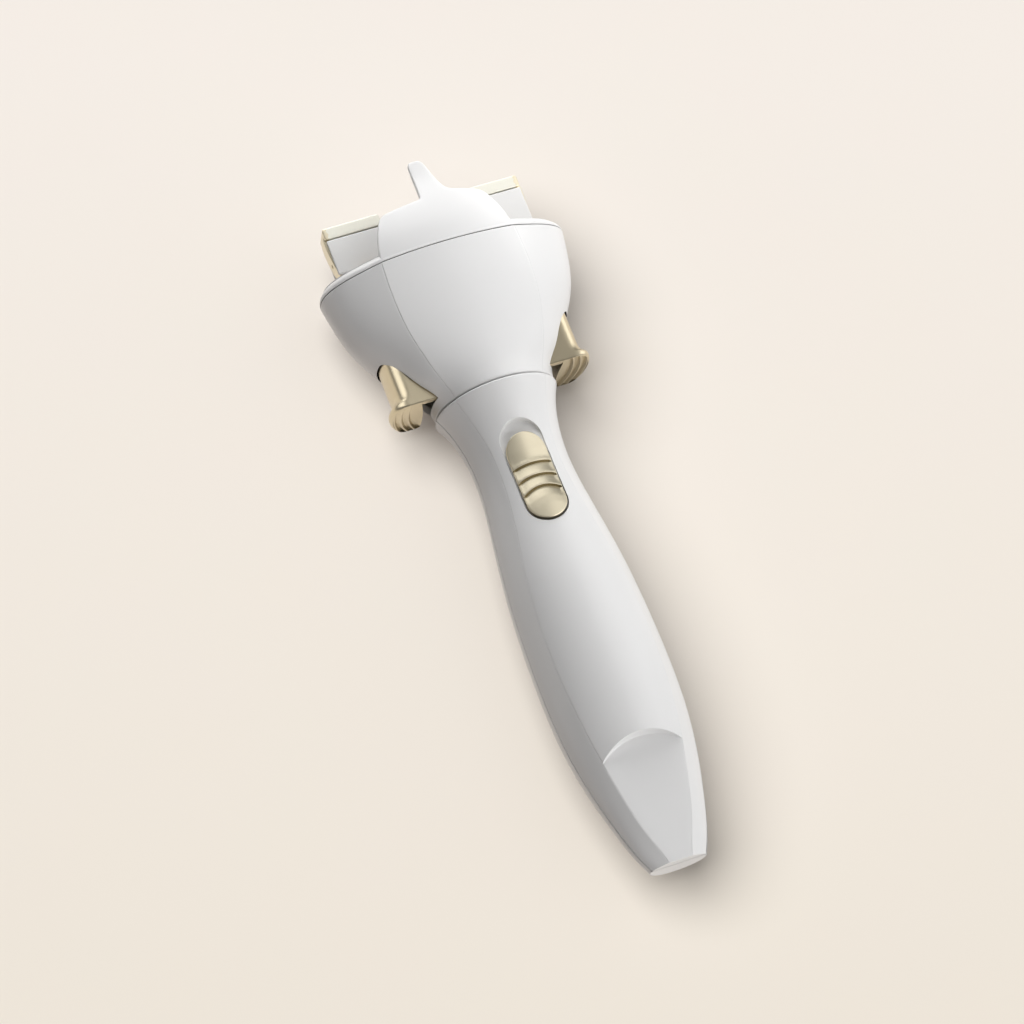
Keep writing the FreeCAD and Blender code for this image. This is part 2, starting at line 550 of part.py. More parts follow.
front_rows = [(196.35, 21.0, 17.9, 20.5, 2.4), (202.0, 21.0, 17.45, 20.0, 2.4), (208.0, 21.0, 16.4, 18.9, 2.3),
              (215.5, 21.0, 14.7, 17.2, 2.2)]
back_rows = [(196.35, 21.0, 17.0, 19.5, 2.4), (202.0, 21.0, 16.5, 19.0, 2.4), (208.0, 21.0, 15.5, 18.0, 2.3),
             (215.5, 21.0, 14.0, 16.4, 2.2)]
front_shield = shield(front_rows, -1).common(poly_y(outline(213.95, 1.2), -30, 0))
back_shield = shield(back_rows, 1).common(poly_y(outline(212.6, 1.2), 0, 30))


def block_wire(x0, x1, y0, y1, z, r):
    e = []
    k = r * (1 - math.sqrt(0.5))
    pts = [((x0 + r, y0), (x1 - r, y0), (x1 - k, y0 + k), (x1, y0 + r)), ((x1, y0 + r), (x1, y1 - r), (x1 - k, y1 - k), (x1 - r, y1)),
           ((x1 - r, y1), (x0 + r, y1), (x0 + k, y1 - k), (x0, y1 - r)), ((x0, y1 - r), (x0, y0 + r), (x0 + k, y0 + k), (x0 + r, y0))]
    for a, b, m, c in pts:
        e.append(Part.LineSegment(V(a[0], a[1], z), V(b[0], b[1], z)).toShape())
        e.append(Part.Arc(V(b[0], b[1], z), V(m[0], m[1], z), V(c[0], c[1], z)).toShape())
    return Part.Wire(e)


prong = Part.makeLoft([
    block_wire(-2.5, 5.6, -17.4, -15.0, 212.6, 0.9),
    block_wire(-2.35, 4.1, -16.7, -14.5, 216.6, 0.9),
    block_wire(-2.15, 2.9, -16.0, -13.9, 221.0, 0.85),
    block_wire(-1.95, 1.9, -15.2, -13.3, 225.4, 0.85),
    block_wire(-1.25, 1.15, -14.8, -13.5, TOTAL_LEN, 0.6)], True, False)
cap = cap.fuse([front_shield, back_shield, prong])
bearing = cyl(5.0, 193.0, 200.5).cut(cyl(SHAFT_R + SHAFT_FIT, 192, 198.6))
cap = cap.cut(cyl(5.0, 190, 199.4)).fuse(bearing)
cap = cap.cut(Part.makeCompound([cyl(6.0, 190, 205, CHUCK_X, 0), cyl(6.0, 190, 205, -CHUCK_X, 0)]))
keep("head_cap", cap.removeSplitter())

bushes = []
for sx in (-1, 1):
    low = cyl(6.0, 181.0, GEAR_PLATE_Z[1], sx * CHUCK_X)
    low = low.cut(cyl(CHUCK_TUBE_R + 0.05, GEAR_PLATE_Z[0], 190, sx * CHUCK_X)).cut(cyl(ROD_R + 0.15, 170, 190, sx * CHUCK_X))
    top = ring(CHUCK_TUBE_R + 0.05, 6.0, 197.2, DECK_Z, sx * CHUCK_X)
    bushes += [low, top]
keep("chuck_bushes", Part.makeCompound(bushes))
keep("shaft_bushes", Part.makeCompound([ring(SHAFT_R + SHAFT_FIT, 4.5, 142.0, 150.0), ring(SHAFT_R + SHAFT_FIT, 4.6, GEAR_PLATE_Z[0], GEAR_PLATE_Z[1])]))

# ---------------------------------------------------------------------------
# Sun shaft
# ---------------------------------------------------------------------------
keep("main_shaft", cyl(SHAFT_R, 126.0, 198.0).cut(box(-5, 5, -5, -2.0, 120, 132)))
keep("sun_gear", gear(SUN_TEETH, GEAR_Z[0], GEAR_Z[1], SHAFT_R).fuse(ring(SHAFT_R, 4.2, 184.3, GEAR_Z[0])))


# ---------------------------------------------------------------------------
# One chuck, jaw and trigger, drawn for the right-hand side
# ---------------------------------------------------------------------------
def right_side():
    out = {}
    cx = CHUCK_X
    tube = cyl(CHUCK_TUBE_R, 182.3, 205.4, cx).cut(cyl(ROD_R + ROD_FIT, 170, 210, cx))
    tube = tube.cut(ring(3.4, 5.0, 196.2, 196.8, cx))
    out["chuck_shaft"] = tube
    out["shaft_clip"] = ring(3.4, 5.4, 196.22, 196.78, cx).cut(box(cx - 1.6, cx + 1.6, 0, 8, 195, 198))
    out["planet_gear"] = gear(PLANET_TEETH, GEAR_Z[0], GEAR_Z[1], CHUCK_TUBE_R, math.pi + math.pi / PLANET_TEETH, cx).fuse(
        ring(CHUCK_TUBE_R, 5.6, 184.4, GEAR_Z[0], cx))
    # block: body, two cheeks that carry the hinge pin, and a socket for the tube
    x_in, x_mid, x_out = cx - 10.0, cx + 4.9, cx + 10.0
    block = box(x_in, x_mid, -4.2, 4.2, 202.5, BLOCK_TOP)
    cheek = []
    for s in (-1, 1):
        y0, y1 = (-4.2, -3.1) if s < 0 else (3.1, 4.2)
        cheek.append(poly_y([(x_mid - 0.1, 202.5), (x_out, 202.5), (x_out, BLOCK_TOP - 0.4), (cx + PIN_X, BLOCK_TOP),
                             (x_mid - 0.1, BLOCK_TOP)], y0, y1))
    block = block.fuse(cheek).fuse(cyl(6.2, 202.4, 205.5, cx).common(box(x_in, x_mid + 0.1, -4.2, 4.2, 200, 206)))
    edges = [e for e in block.removeSplitter().Edges if abs(e.Vertexes[0].Z - e.Vertexes[-1].Z) > 10
             and e.Vertexes[0].X < x_in + 0.1]
    block = block.removeSplitter().makeFillet(1.0, edges)
    block = block.cut(cyl(CHUCK_TUBE_R, 200, 205.4, cx)).cut(cyl(ROD_R + 0.3, 200, 220, cx))
    block = block.cut(cyl_y(PIN_R, -3.9, 3.9, cx + PIN_X, PIN_Z))
    block = block.cut(box(cx - 7.2, cx + 4.0, -3.2, 3.2, BLOCK_TOP - 0.8, BLOCK_TOP + 1))
    out["chuck_block"] = block
    pad = box(cx - 7.2, cx + 4.0, -3.2, 3.2, BLOCK_TOP - 0.8, BLOCK_TOP + 0.1).cut(cyl(ROD_R + 0.3, 210, 216, cx))
    out["clamp_pad"] = pad
    out["hinge_pin"] = cyl_y(PIN_R, -3.85, 3.85, cx + PIN_X, PIN_Z)
    # jaw: strip over the block and a curved side shell between the cheeks
    strip = box(cx - 7.8, cx + 10.2, -4.2, 4.2, JAW_Z0, JAW_TOP)
    es = [e for e in strip.Edges if (abs(e.Vertexes[0].Z - JAW_TOP) < 0.01 and abs(e.Vertexes[-1].Z - JAW_TOP) < 0.01)]
    strip = strip.makeFillet(0.7, es)
    side_pts = [(cx + 8.4, JAW_Z0 + 0.6), (cx + 8.3, PIN_Z + 2.5), (cx + 8.3, 203.2), (cx + 8.8, 202.7), (cx + 9.5, 203.0),
                (cx + 10.1, 205.8), (cx + 10.5, 209.4), (cx + 10.65, 212.2), (cx + 10.6, JAW_Z0 + 0.6)]
    side = poly_y(side_pts, -2.8, 2.8)
    boss = cyl_y(1.75, -2.8, 2.8, cx + PIN_X, PIN_Z)
    jaw = strip.fuse([side, boss, poly_y([(cx + 8.6, JAW_Z0 + 0.3), (cx + 10.2, JAW_Z0 + 0.3), (cx + 10.62, JAW_Z0 + 0.9),
                                          (cx + 10.5, JAW_Z0 + 3.0), (cx + 9.8, JAW_TOP - 0.3), (cx + 8.6, JAW_TOP - 0.4)], -2.8, 2.8)])
    jaw = jaw.removeSplitter().cut(cyl_y(PIN_R + 0.05, -5, 5, cx + PIN_X, PIN_Z))
    out["jaw"] = jaw.removeSplitter()
    # trigger: bowed stem with flat webs on a foot whose underside is ribbed for the finger,
    # hollow above for the return spring
    ax = TRIG_OUT - TRIG_BOW
    stem = trigger_plan(0.0, TRIG_Z[0], TRIG_Z[1])
    prof = [(8.6, 154.0), (16.6, 154.0), (17.3, 154.2), (17.8, 154.6), (18.1, 155.2), (18.0, 155.8), (17.4, 156.2),
            (16.8, 156.7), (16.35, 157.4), (16.1, 158.2), (15.9, 159.4), (8.6, 159.4)]
    pts = [V(ax + r, 0, z) for r, z in prof]
    foot = Part.Face(Part.makePolygon(pts + [pts[0]])).revolve(V(ax, 0, 0), V(0, 0, 1), 130)
    foot.rotate(V(ax, 0, 0), V(0, 0, 1), -65)
    foot = foot.common(trigger_plan(0.0, 153.0, 160.0, TRIG_LIP, 3.0))
    trig = stem.fuse(foot)
    for xr, rr in ((25.8, 22.0), (28.1, 24.0), (30.1, 26.0)):
        trig = trig.cut(ring(rr - 0.45, rr, 150.0, 154.45, xr - rr, 1.5).common(box(15, 40, -6.6, 9.5, 150, 155)))
    cup = box(TRIG_IN + 1.5, 23.3, -4.8, 4.8, 167.5, 180).fuse(cyl(4.8, 167.5, 180, 23.3, 0))
    trig = trig.cut(cup).cut(cyl(ROD_R, 164.0, 170, cx))
    out["trigger"] = trig.removeSplitter()
    out["push_rod"] = cyl(ROD_R, 164.0, 213.7, cx).fuse(Part.makeSphere(ROD_R, V(cx, 0, 212.3))).common(
        cyl(ROD_R, 164.0, 213.9, cx))
    out["trigger_spring"] = coil(2.25, 0.3, 2.3, 167.85, 5.5, cx)
    return out


for base, shape in right_side().items():
    keep(base + "_right", shape)
    keep(base + "_left", mirror_x(shape))

if __name__ == "__main__":
    os.makedirs("parts", exist_ok=True)
    for name, shape in PARTS.items():
        s = shape.copy()
        s.Placement = PLACE.multiply(s.Placement)
        solids = s.Solids
        bad = [k for k, q in enumerate(solids) if not q.isValid()]
        print("%-24s solids %d volume %9.1f %s" % (name, len(solids), s.Volume, "INVALID %s" % bad if bad else ""))
        if len(solids) == 1:
            solids[0].exportStep("parts/%s.step" % name)
        else:
            Part.makeCompound(solids).exportStep("parts/%s.step" % name)
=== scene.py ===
import json
import math

import bmesh
import bpy
import numpy as np
from mathutils import Matrix, Vector
from mathutils.geometry import delaunay_2d_cdt

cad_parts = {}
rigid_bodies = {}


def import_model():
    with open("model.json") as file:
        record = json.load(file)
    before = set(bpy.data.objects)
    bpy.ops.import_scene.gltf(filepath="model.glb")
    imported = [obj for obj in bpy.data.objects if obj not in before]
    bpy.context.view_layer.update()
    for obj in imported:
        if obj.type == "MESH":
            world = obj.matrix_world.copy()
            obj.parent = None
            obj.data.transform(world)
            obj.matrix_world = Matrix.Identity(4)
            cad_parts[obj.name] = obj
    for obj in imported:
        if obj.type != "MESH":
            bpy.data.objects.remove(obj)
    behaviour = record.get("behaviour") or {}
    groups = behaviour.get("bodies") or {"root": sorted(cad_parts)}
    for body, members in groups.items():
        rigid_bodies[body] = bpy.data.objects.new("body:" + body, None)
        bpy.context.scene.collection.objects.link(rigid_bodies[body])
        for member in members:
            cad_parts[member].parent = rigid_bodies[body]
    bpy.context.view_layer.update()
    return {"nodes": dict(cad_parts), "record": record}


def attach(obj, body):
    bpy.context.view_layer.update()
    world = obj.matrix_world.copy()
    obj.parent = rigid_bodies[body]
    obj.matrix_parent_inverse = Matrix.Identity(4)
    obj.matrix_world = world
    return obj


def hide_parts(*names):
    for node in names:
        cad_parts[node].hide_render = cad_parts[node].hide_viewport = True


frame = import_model()

# ---------------------------------------------------------------------------
# Everything below is worked out in the device frame, in millimetres: z along
# the tool from the end of the handle, x side to side, front towards -y.
# dev() lays it on its back in the row frame, in metres.
# ---------------------------------------------------------------------------
PART_Y, SEAM = -1.5, 0.12
HANDLE_TOP, NECK_Z, SEAM_Z = 149.9, 150.6, 196.25
SLOT_HALF, SLOT_Z0, SLOT_Z1, SLOT_FLOOR = 6.5, 104.7, 138.2, -12.2
KNOB_HALF, KNOB_Z0, KNOB_Z1 = 6.02, 105.35, 133.7
TOTAL = 226.5

HANDLE = [
    (0.0, 8.6, 3.6, 5.0, 5.6, 6.2, 30, 0.56), (3.0, 10.0, 4.5, 5.5, 6.4, 7.7, 32, 0.56),
    (8.0, 11.9, 6.3, 6.35, 7.8, 9.7, 35, 0.56), (15.0, 13.9, 8.5, 7.4, 9.6, 12.2, 38, 0.56),
    (23.0, 15.9, 10.4, 8.55, 11.5, 14.7, 41, 0.56), (32.0, 17.7, 12.2, 9.8, 13.5, 17.0, 44, 0.57),
    (43.0, 19.1, 13.8, 10.7, 15.3, 18.8, 49, 0.58), (55.0, 19.65, 14.8, 11.0, 16.6, 19.46, 54, 0.58),
    (67.0, 19.6, 15.1, 10.9, 17.1, 19.41, 57, 0.58), (79.0, 19.15, 14.7, 10.9, 17.0, 19.0, 56, 0.58),
    (91.0, 18.3, 13.5, 11.2, 16.5, 18.2, 54, 0.57), (101.0, 17.15, 12.0, 11.35, 15.7, 17.1, 51, 0.56),
    (110.0, 15.95, 10.6, 11.2, 14.9, 15.9, 49, 0.56), (118.0, 14.9, 9.7, 10.9, 14.2, 14.95, 48, 0.56),
    (126.0, 14.35, 9.4, 10.7, 13.9, 14.4, 48, 0.56), (133.0, 14.6, 9.8, 10.85, 14.2, 14.65, 48, 0.52),
    (140.0, 15.7, 11.2, 11.25, 15.5, 15.85, 48.5, 0.50), (145.5, 17.3, 12.8, 12.0, 17.3, 17.5, 48.5, 0.505),
    (149.9, 19.3, 14.2, 13.07, 19.3, 19.3, 48.5, 0.5523)]
CONE = [
    (150.6, 18.7, 13.8, 12.62, 18.7, 18.7, 48.5, 0.5523), (154.0, 19.3, 14.9, 13.1, 18.70, 18.70, 46, 0.56),
    (159.0, 23.2, 16.9, 14.5, 18.95, 18.8, 41, 0.58), (165.0, 27.05, 18.7, 15.6, 19.25, 18.95, 39.5, 0.61),
    (171.0, 30.7, 20.15, 16.4, 19.6, 19.1, 36, 0.64), (178.0, 34.5, 21.1, 17.1, 19.95, 19.25, 31.5, 0.66),
    (186.0, 37.0, 21.4, 17.6, 20.3, 19.4, 29.5, 0.67), (196.3, 38.8, 21.0, 17.9, 20.5, 19.5, 28, 0.68)]
CAP = [
    (196.35, 38.8, 21.0, 17.9, 20.5, 19.495, 28, 0.68), (198.2, 38.6, 20.9, 17.8, 20.35, 19.35, 28, 0.68),
    (199.9, 37.8, 20.5, 17.2, 19.65, 18.65, 28, 0.68), (201.2, 36.3, 19.7, 16.0, 18.3, 17.3, 28, 0.68),
    (202.0, 34.2, 18.6, 14.4, 16.5, 15.5, 28, 0.68)]
SCREWS = [(0.0, 22.0), (-11.0, 99.0), (11.0, 99.0), (-9.8, 134.4), (9.8, 134.4)]


def dev(points):
    p = np.asarray(points, float).reshape(-1, 3)
    return np.stack([p[:, 0] / 1000.0, (p[:, 2] - 113.25) / 1000.0, (19.5 - p[:, 1]) / 1000.0], 1)


def spline(table):
    """Natural cubic spline through the rows of a table, all columns at once."""
    t = np.array(table, float)
    x, y = t[:, 0], t[:, 1:]
    n = len(x)
    h = np.diff(x)
    a = np.zeros((n, n))
    b = np.zeros((n, y.shape[1]))
    a[0, 0] = a[-1, -1] = 1.0
    for i in range(1, n - 1):
        a[i, i - 1], a[i, i], a[i, i + 1] = h[i - 1], 2 * (h[i - 1] + h[i]), h[i]
        b[i] = 6 * ((y[i + 1] - y[i]) / h[i] - (y[i] - y[i - 1]) / h[i - 1])
    m = np.linalg.solve(a, b)

    def f(z):
        z = np.clip(np.asarray(z, float), x[0], x[-1])
        k = np.clip(np.searchsorted(x, z, side="right") - 1, 0, n - 2)
        hh = h[k][:, None]
        p = ((x[k + 1] - z) / h[k])[:, None]
        q = 1 - p
        return p * y[k] + q * y[k + 1] + ((p ** 3 - p) * m[k] + (q ** 3 - q) * m[k + 1]) * hh * hh / 6
    return f


def cubic(p0, p1, p2, p3, n):
    t = np.linspace(0, 1, n)[None, :, None]
    p0, p1, p2, p3 = (p[:, None, :] for p in (p0, p1, p2, p3))
    return (1 - t) ** 3 * p0 + 3 * (1 - t) ** 2 * t * p1 + 3 * (1 - t) * t * t * p2 + t ** 3 * p3


def rings(rows, n=160):
    """Closed sections from the left side round the front: left flank, panel, right flank, back."""
    w, c, yc, d0, db, ang, kb = rows.T
    tf = np.radians(ang)
    tp = 2 * np.arctan2(d0 - yc, c)
    arm = 4 / 3 * np.tan(tp / 2) * c / np.sin(tp)
    length = np.hypot(w - c, yc)
    st = lambda a, b: np.stack([a, b], 1)
    z0 = np.zeros_like(w)
    p1 = st(c + 0.36 * length * np.cos(tf), -yc + 0.36 * length * np.sin(tf))
    p2 = st(w, -0.38 * length)
    flank = cubic(st(c, -yc), p1, p2, st(w, z0), n)
    panel = cubic(st(-c, -yc), st(-c + arm * np.cos(tp), -yc - arm * np.sin(tp)),
                  st(c - arm * np.cos(tp), -yc - arm * np.sin(tp)), st(c, -yc), n)
    back = cubic(st(w, z0), st(w, kb * db), st(kb * w, db), st(z0, db), n)
    mir = np.array([-1.0, 1.0])
    left = flank[:, ::-1] * mir
    back_l = back[:, ::-1] * mir
    loop = np.concatenate([left, panel[:, 1:], flank[:, 1:], back[:, 1:], back_l[:, 1:-1]], 1)
    keys = (n - 1, 2 * (n - 1))
    return loop, keys


class Skin:
    """Surface point for (u, z): u runs 0..1 over the front from parting line to parting line with
    the creases at 0.25 and 0.75, and 1..2 over the back. Creases are softly rounded."""

    def __init__(self, table, z0, z1, dz=0.5, sigma=0.35, nu=3200, groove=0.0):
        self.z0, self.z1 = z0, z1
        self.nz = int(math.ceil((z1 - z0) / dz)) + 1
        zs = np.linspace(z0, z1, self.nz)
        loops, keys = rings(spline(table)(zs))
        m = 1536
        out = np.zeros((self.nz, nu + 1, 2))
        freq = np.fft.rfftfreq(m)
        for i, loop in enumerate(loops):
            seg = np.hypot(*np.diff(np.vstack([loop, loop[:1]]), axis=0).T)
            s = np.concatenate([[0], np.cumsum(seg)])
            total = s[-1]
            even = np.arange(m) * total / m
            closed = np.vstack([loop, loop[:1]])
            x = np.interp(even, s, closed[:, 0])
            y = np.interp(even, s, closed[:, 1])
            g = np.exp(-2 * (math.pi * freq * m / total * sigma) ** 2)
            x = np.fft.irfft(np.fft.rfft(x) * g, m)
            y = np.fft.irfft(np.fft.rfft(y) * g, m)
            e2 = np.concatenate([even, [total]])
            x2, y2 = np.append(x, x[0]), np.append(y, y[0])
            cl, cr = s[keys[0]], s[keys[1]]
            # where the outline passes the parting plane, on each side
            k = np.searchsorted(-y2[:m // 4], -PART_Y)
            pl = np.interp(PART_Y, [y2[k], y2[k - 1]], [e2[k], e2[k - 1]]) if k > 0 else e2[1]
            right = cr + (cl - pl)
            u = np.linspace(0, 2, nu + 1)
            arc = np.interp(u, [0, 0.25, 0.75, 1.0, 2.0], [pl, cl, cr, right, pl + total])
            arc = np.where(arc > total, arc - total, arc)
            out[i, :, 0] = np.interp(arc, e2, x2)
            out[i, :, 1] = np.interp(arc, e2, y2)
        out[:, -1] = out[:, 0]
        if groove:
            u = np.linspace(0, 2, nu + 1)
            tan = np.gradient(out, axis=1)
            tan /= np.maximum(np.linalg.norm(tan, axis=2), 1e-9)[..., None]
            inward = np.stack([-tan[..., 1], tan[..., 0]], -1)
            step = np.linalg.norm(np.diff(out, axis=1), axis=2)
            s = np.concatenate([np.zeros((self.nz, 1)), np.cumsum(step, 1)], 1)
            for key, way in ((0.25, -1.0), (0.75, 1.0)):
                k = int(round(key * nu / 2))
                q = (s - s[:, k:k + 1]) * way
                rise = np.clip(q / 0.16 + 0.5, 0, 1)
                d = groove * rise * rise * (3 - 2 * rise) * np.exp(-np.maximum(q, 0) / 2.2) + groove * np.exp(-(q / 0.15) ** 2)
                d[:, nu // 2 + 1:] = 0.0
                out = out + inward * d[..., None]
            out[:, -1] = out[:, 0]
        self.t, self.nu = out, nu

    def __call__(self, u, z):
        u = np.mod(np.asarray(u, float), 2.0)
        z = np.asarray(z, float)
        a = u * self.nu / 2.0
        i = np.clip(a.astype(int), 0, self.nu - 1)
        fa = (a - i)[..., None]
        b = np.clip((z - self.z0) / (self.z1 - self.z0), 0, 1) * (self.nz - 1)
        j = np.clip(b.astype(int), 0, self.nz - 2)
        fb = (b - j)[..., None]
        t = self.t
        p = (t[j, i] * (1 - fa) + t[j, i + 1] * fa) * (1 - fb) + (t[j + 1, i] * (1 - fa) + t[j + 1, i + 1] * fa) * fb
        return np.concatenate([p, z[..., None]], -1)

    def height(self, front=True, half=13.5, step=0.1):
        """Depth of the front or back as a function of (x, z)."""
        xs = np.arange(-half, half + step / 2, step)
        lo, hi = (0, self.nu // 2) if front else (self.nu // 2, self.nu)
        tab = np.zeros((self.nz, len(xs)))
        for i in range(self.nz):
            q = self.t[i, lo:hi + 1]
            if not front:
                q = q[::-1]
            tab[i] = np.interp(xs, q[:, 0], q[:, 1])

        def f(x, z):
            x, z = np.asarray(x, float), np.asarray(z, float)
            a = np.clip((x + half) / step, 0, len(xs) - 1.001)
            i = a.astype(int)
            b = np.clip((z - self.z0) / (self.z1 - self.z0), 0, 1) * (self.nz - 1)
            j = np.clip(b.astype(int), 0, self.nz - 2)
            fa, fb = a - i, b - j
            return (tab[j, i] * (1 - fa) + tab[j, i + 1] * fa) * (1 - fb) + (
                tab[j + 1, i] * (1 - fa) + tab[j + 1, i + 1] * fa) * fb
        return f


# ---------------------------------------------------------------------------
# Mesh building
# ---------------------------------------------------------------------------
class Build:
    def __init__(self):
        self.v, self.f, self.n = [], [], 0

    def add(self, pts, faces, mirror=False):
        pts = np.asarray(pts, float).reshape(-1, 3)
        if mirror:
            pts = pts * np.array([-1.0, 1.0, 1.0])
        self.v.append(pts)
        for q in faces:
            q = [int(k) + self.n for k in q]
            self.f.append(tuple(reversed(q)) if mirror else tuple(q))
        self.n += len(pts)

    def grid(self, p, close=False, mirror=False, flip=False):
        n, m = p.shape[:2]
        idx = np.arange(n * m).reshape(n, m)
        if close:
            idx = np.concatenate([idx, idx[:, :1]], 1)
        q = np.stack([idx[:-1, :-1], idx[:-1, 1:], idx[1:, 1:], idx[1:, :-1]], -1).reshape(-1, 4)
        if flip:
            q = q[:, ::-1]
        self.add(p, q.tolist(), mirror)

    def make(self, name, mats, sharp=38.0, merge=2e-6, outward=None):
        me = bpy.data.meshes.new(name)
        me.from_pydata(dev(np.concatenate(self.v)).tolist(), [], self.f)
        bm = bmesh.new()
        bm.from_mesh(me)
        bmesh.ops.remove_doubles(bm, verts=bm.verts, dist=merge)
        bmesh.ops.dissolve_degenerate(bm, dist=1e-7, edges=bm.edges)
        loose = [v for v in bm.verts if not v.link_faces]
        bmesh.ops.delete(bm, geom=loose, context="VERTS")
        bmesh.ops.recalc_face_normals(bm, faces=bm.faces)
        if outward is not None:
            best = max(bm.faces, key=lambda f: f.calc_area())
            s = sum((f.calc_center_median() - Vector(outward)).dot(f.normal) * f.calc_area() for f in bm.faces)
            if s < 0:
                bmesh.ops.reverse_faces(bm, faces=bm.faces)
        bm.to_mesh(me)
        bm.free()
        me.shade_smooth()
        me.set_sharp_from_angle(angle=math.radians(sharp))
        ob = bpy.data.objects.new(name, me)
        bpy.context.scene.collection.objects.link(ob)
        for m in mats:
            me.materials.append(m)
        return ob


def inside(poly, x, y):
    x, y = np.asarray(x), np.asarray(y)
    res = np.zeros(x.shape, bool)
    px, py = poly[:, 0], poly[:, 1]
    qx, qy = np.roll(px, -1), np.roll(py, -1)
    for a, b, c, d in zip(px, py, qx, qy):
        if b == d:
            continue
        hit = ((b > y) != (d > y)) & (x < (c - a) * (y - b) / (d - b) + a)
        res ^= hit
    return res


def offset(loop, d):
    """Closed loop moved outwards by d (anticlockwise loop)."""
    t = np.roll(loop, -1, 0) - np.roll(loop, 1, 0)
    t /= np.maximum(np.hypot(t[:, 0], t[:, 1]), 1e-9)[:, None]
    return loop + d * np.stack([t[:, 1], -t[:, 0]], 1)


def ccw(loop):
    a = np.sum(loop[:, 0] * np.roll(loop[:, 1], -1) - np.roll(loop[:, 0], -1) * loop[:, 1])
    return loop if a > 0 else loop[::-1].copy()


def resample(loop, step, closed=True):
    p = np.vstack([loop, loop[:1]]) if closed else np.asarray(loop, float)
    s = np.concatenate([[0], np.cumsum(np.hypot(*np.diff(p, axis=0).T))])
    n = max(3, int(round(s[-1] / step)))
    e = np.linspace(0, s[-1], n + 1)
    q = np.stack([np.interp(e, s, p[:, 0]), np.interp(e, s, p[:, 1])], 1)
    return q[:-1] if closed else q


def round_loop(loop, sigma, step=0.12, out=0.45):
    """Closed outline with its corners softened over sigma."""
    q = resample(np.asarray(loop, float), step)
    n = len(q)
    total = n * step
    f = np.fft.fftfreq(n)
    g = np.exp(-2 * (math.pi * f * sigma / step) ** 2)
    z = np.fft.ifft(np.fft.fft(q[:, 0] + 1j * q[:, 1]) * g)
    return resample(np.stack([z.real, z.imag], 1), out)


def fill(loop, step, holes=(), lines=()):
    """Triangles inside a closed loop, less holes, following extra lines. Returns (points, triangles)."""
    pts, edges = [], []

    def put(l, closed):
        o = len(pts)
        pts.extend([tuple(p) for p in l])
        k = len(l)
        for i in range(k if closed else k - 1):
            edges.append((o + i, o + (i + 1) % k))
    put(loop, True)
    for h in holes:
        put(h, True)
    fixed = [np.asarray(loop)] + [np.asarray(h) for h in holes]
    for l in lines:
        l = np.asarray(l)
        ok = inside(np.asarray(loop), l[:, 0], l[:, 1])
        run = []
        for p, good in zip(l, ok):
            if good:
                run.append(p)
            elif len(run) > 1:
                put(run, False)
                fixed.append(np.array(run))
                run = []
            else:
                run = []
        if len(run) > 1:
            put(run, False)
            fixed.append(np.array(run))
    lo, hi = np.min(loop, 0), np.max(loop, 0)
    gx, gy = np.meshgrid(np.arange(lo[0] + step / 2, hi[0], step), np.arange(lo[1] + step / 2, hi[1], step))
    gx = gx + (np.arange(gx.shape[0]) % 2)[:, None] * step / 2
    g = np.stack([gx.ravel(), gy.ravel()], 1)
    g = g[inside(np.asarray(loop), g[:, 0], g[:, 1])]
    for h in holes:
        g = g[~inside(np.asarray(h), g[:, 0], g[:, 1])]
    every = np.concatenate(fixed)
    keep = np.ones(len(g), bool)
    for i in range(0, len(g), 500):
        d = np.hypot(g[i:i + 500, None, 0] - every[None, :, 0], g[i:i + 500, None, 1] - every[None, :, 1])
        keep[i:i + 500] = d.min(1) > 0.55 * step
    pts.extend([tuple(p) for p in g[keep]])
    vo, _, fo, *_ = delaunay_2d_cdt([Vector(p) for p in pts], edges, [], 0, 1e-5)
    v = np.array([(p.x, p.y) for p in vo])
    f = np.array([list(t) for t in fo if len(t) == 3])
    c = v[f].mean(1)
    ok = inside(np.asarray(loop), c[:, 0], c[:, 1])
    for h in holes:
        ok &= ~inside(np.asarray(h), c[:, 0], c[:, 1])
    return v, f[ok]


def plate(b, loop, front, back, r, place, r2=None, step=0.8, n=4, holes=(), holes2=(), lines=(), mirror=False):
    """Solid between two heights over an outline, with rounded rims. place(a, b, c) gives device xyz."""
    r2 = r if r2 is None else r2
    loop = ccw(np.asarray(loop, float))
    fr = front if callable(front) else (lambda x, y, k=front: np.full(np.shape(x), float(k)))
    bk = back if callable(back) else (lambda x, y, k=back: np.full(np.shape(x), float(k)))
    s = 1.0 if float(np.mean(bk(loop[:, 0], loop[:, 1]) - fr(loop[:, 0], loop[:, 1]))) > 0 else -1.0
    rows = []
    for k in range(n + 1):
        a = math.pi / 2 * k / n
        l = offset(loop, -r * (1 - math.sin(a)))
        rows.append(np.column_stack([l, fr(l[:, 0], l[:, 1]) + s * r * (1 - math.cos(a))]))
    for k in range(n, -1, -1):
        a = math.pi / 2 * k / n
        l = offset(loop, -r2 * (1 - math.sin(a)))
        rows.append(np.column_stack([l, bk(l[:, 0], l[:, 1]) - s * r2 * (1 - math.cos(a))]))
    rows = np.array(rows)
    b.grid(place(rows), close=True, mirror=mirror)
    v, f = fill(offset(loop, -r), step, holes, lines)
    b.add(place(np.column_stack([v, fr(v[:, 0], v[:, 1])])), f.tolist(), mirror)
    v, f = fill(offset(loop, -r2), step * 1.6, holes2)
    b.add(place(np.column_stack([v, bk(v[:, 0], v[:, 1])])), f.tolist(), mirror)


def as_xz(p):
    """(x, z, y) rows to device xyz."""
    return np.stack([p[..., 0], p[..., 2], p[..., 1]], -1)


def as_xy(p):
    return p


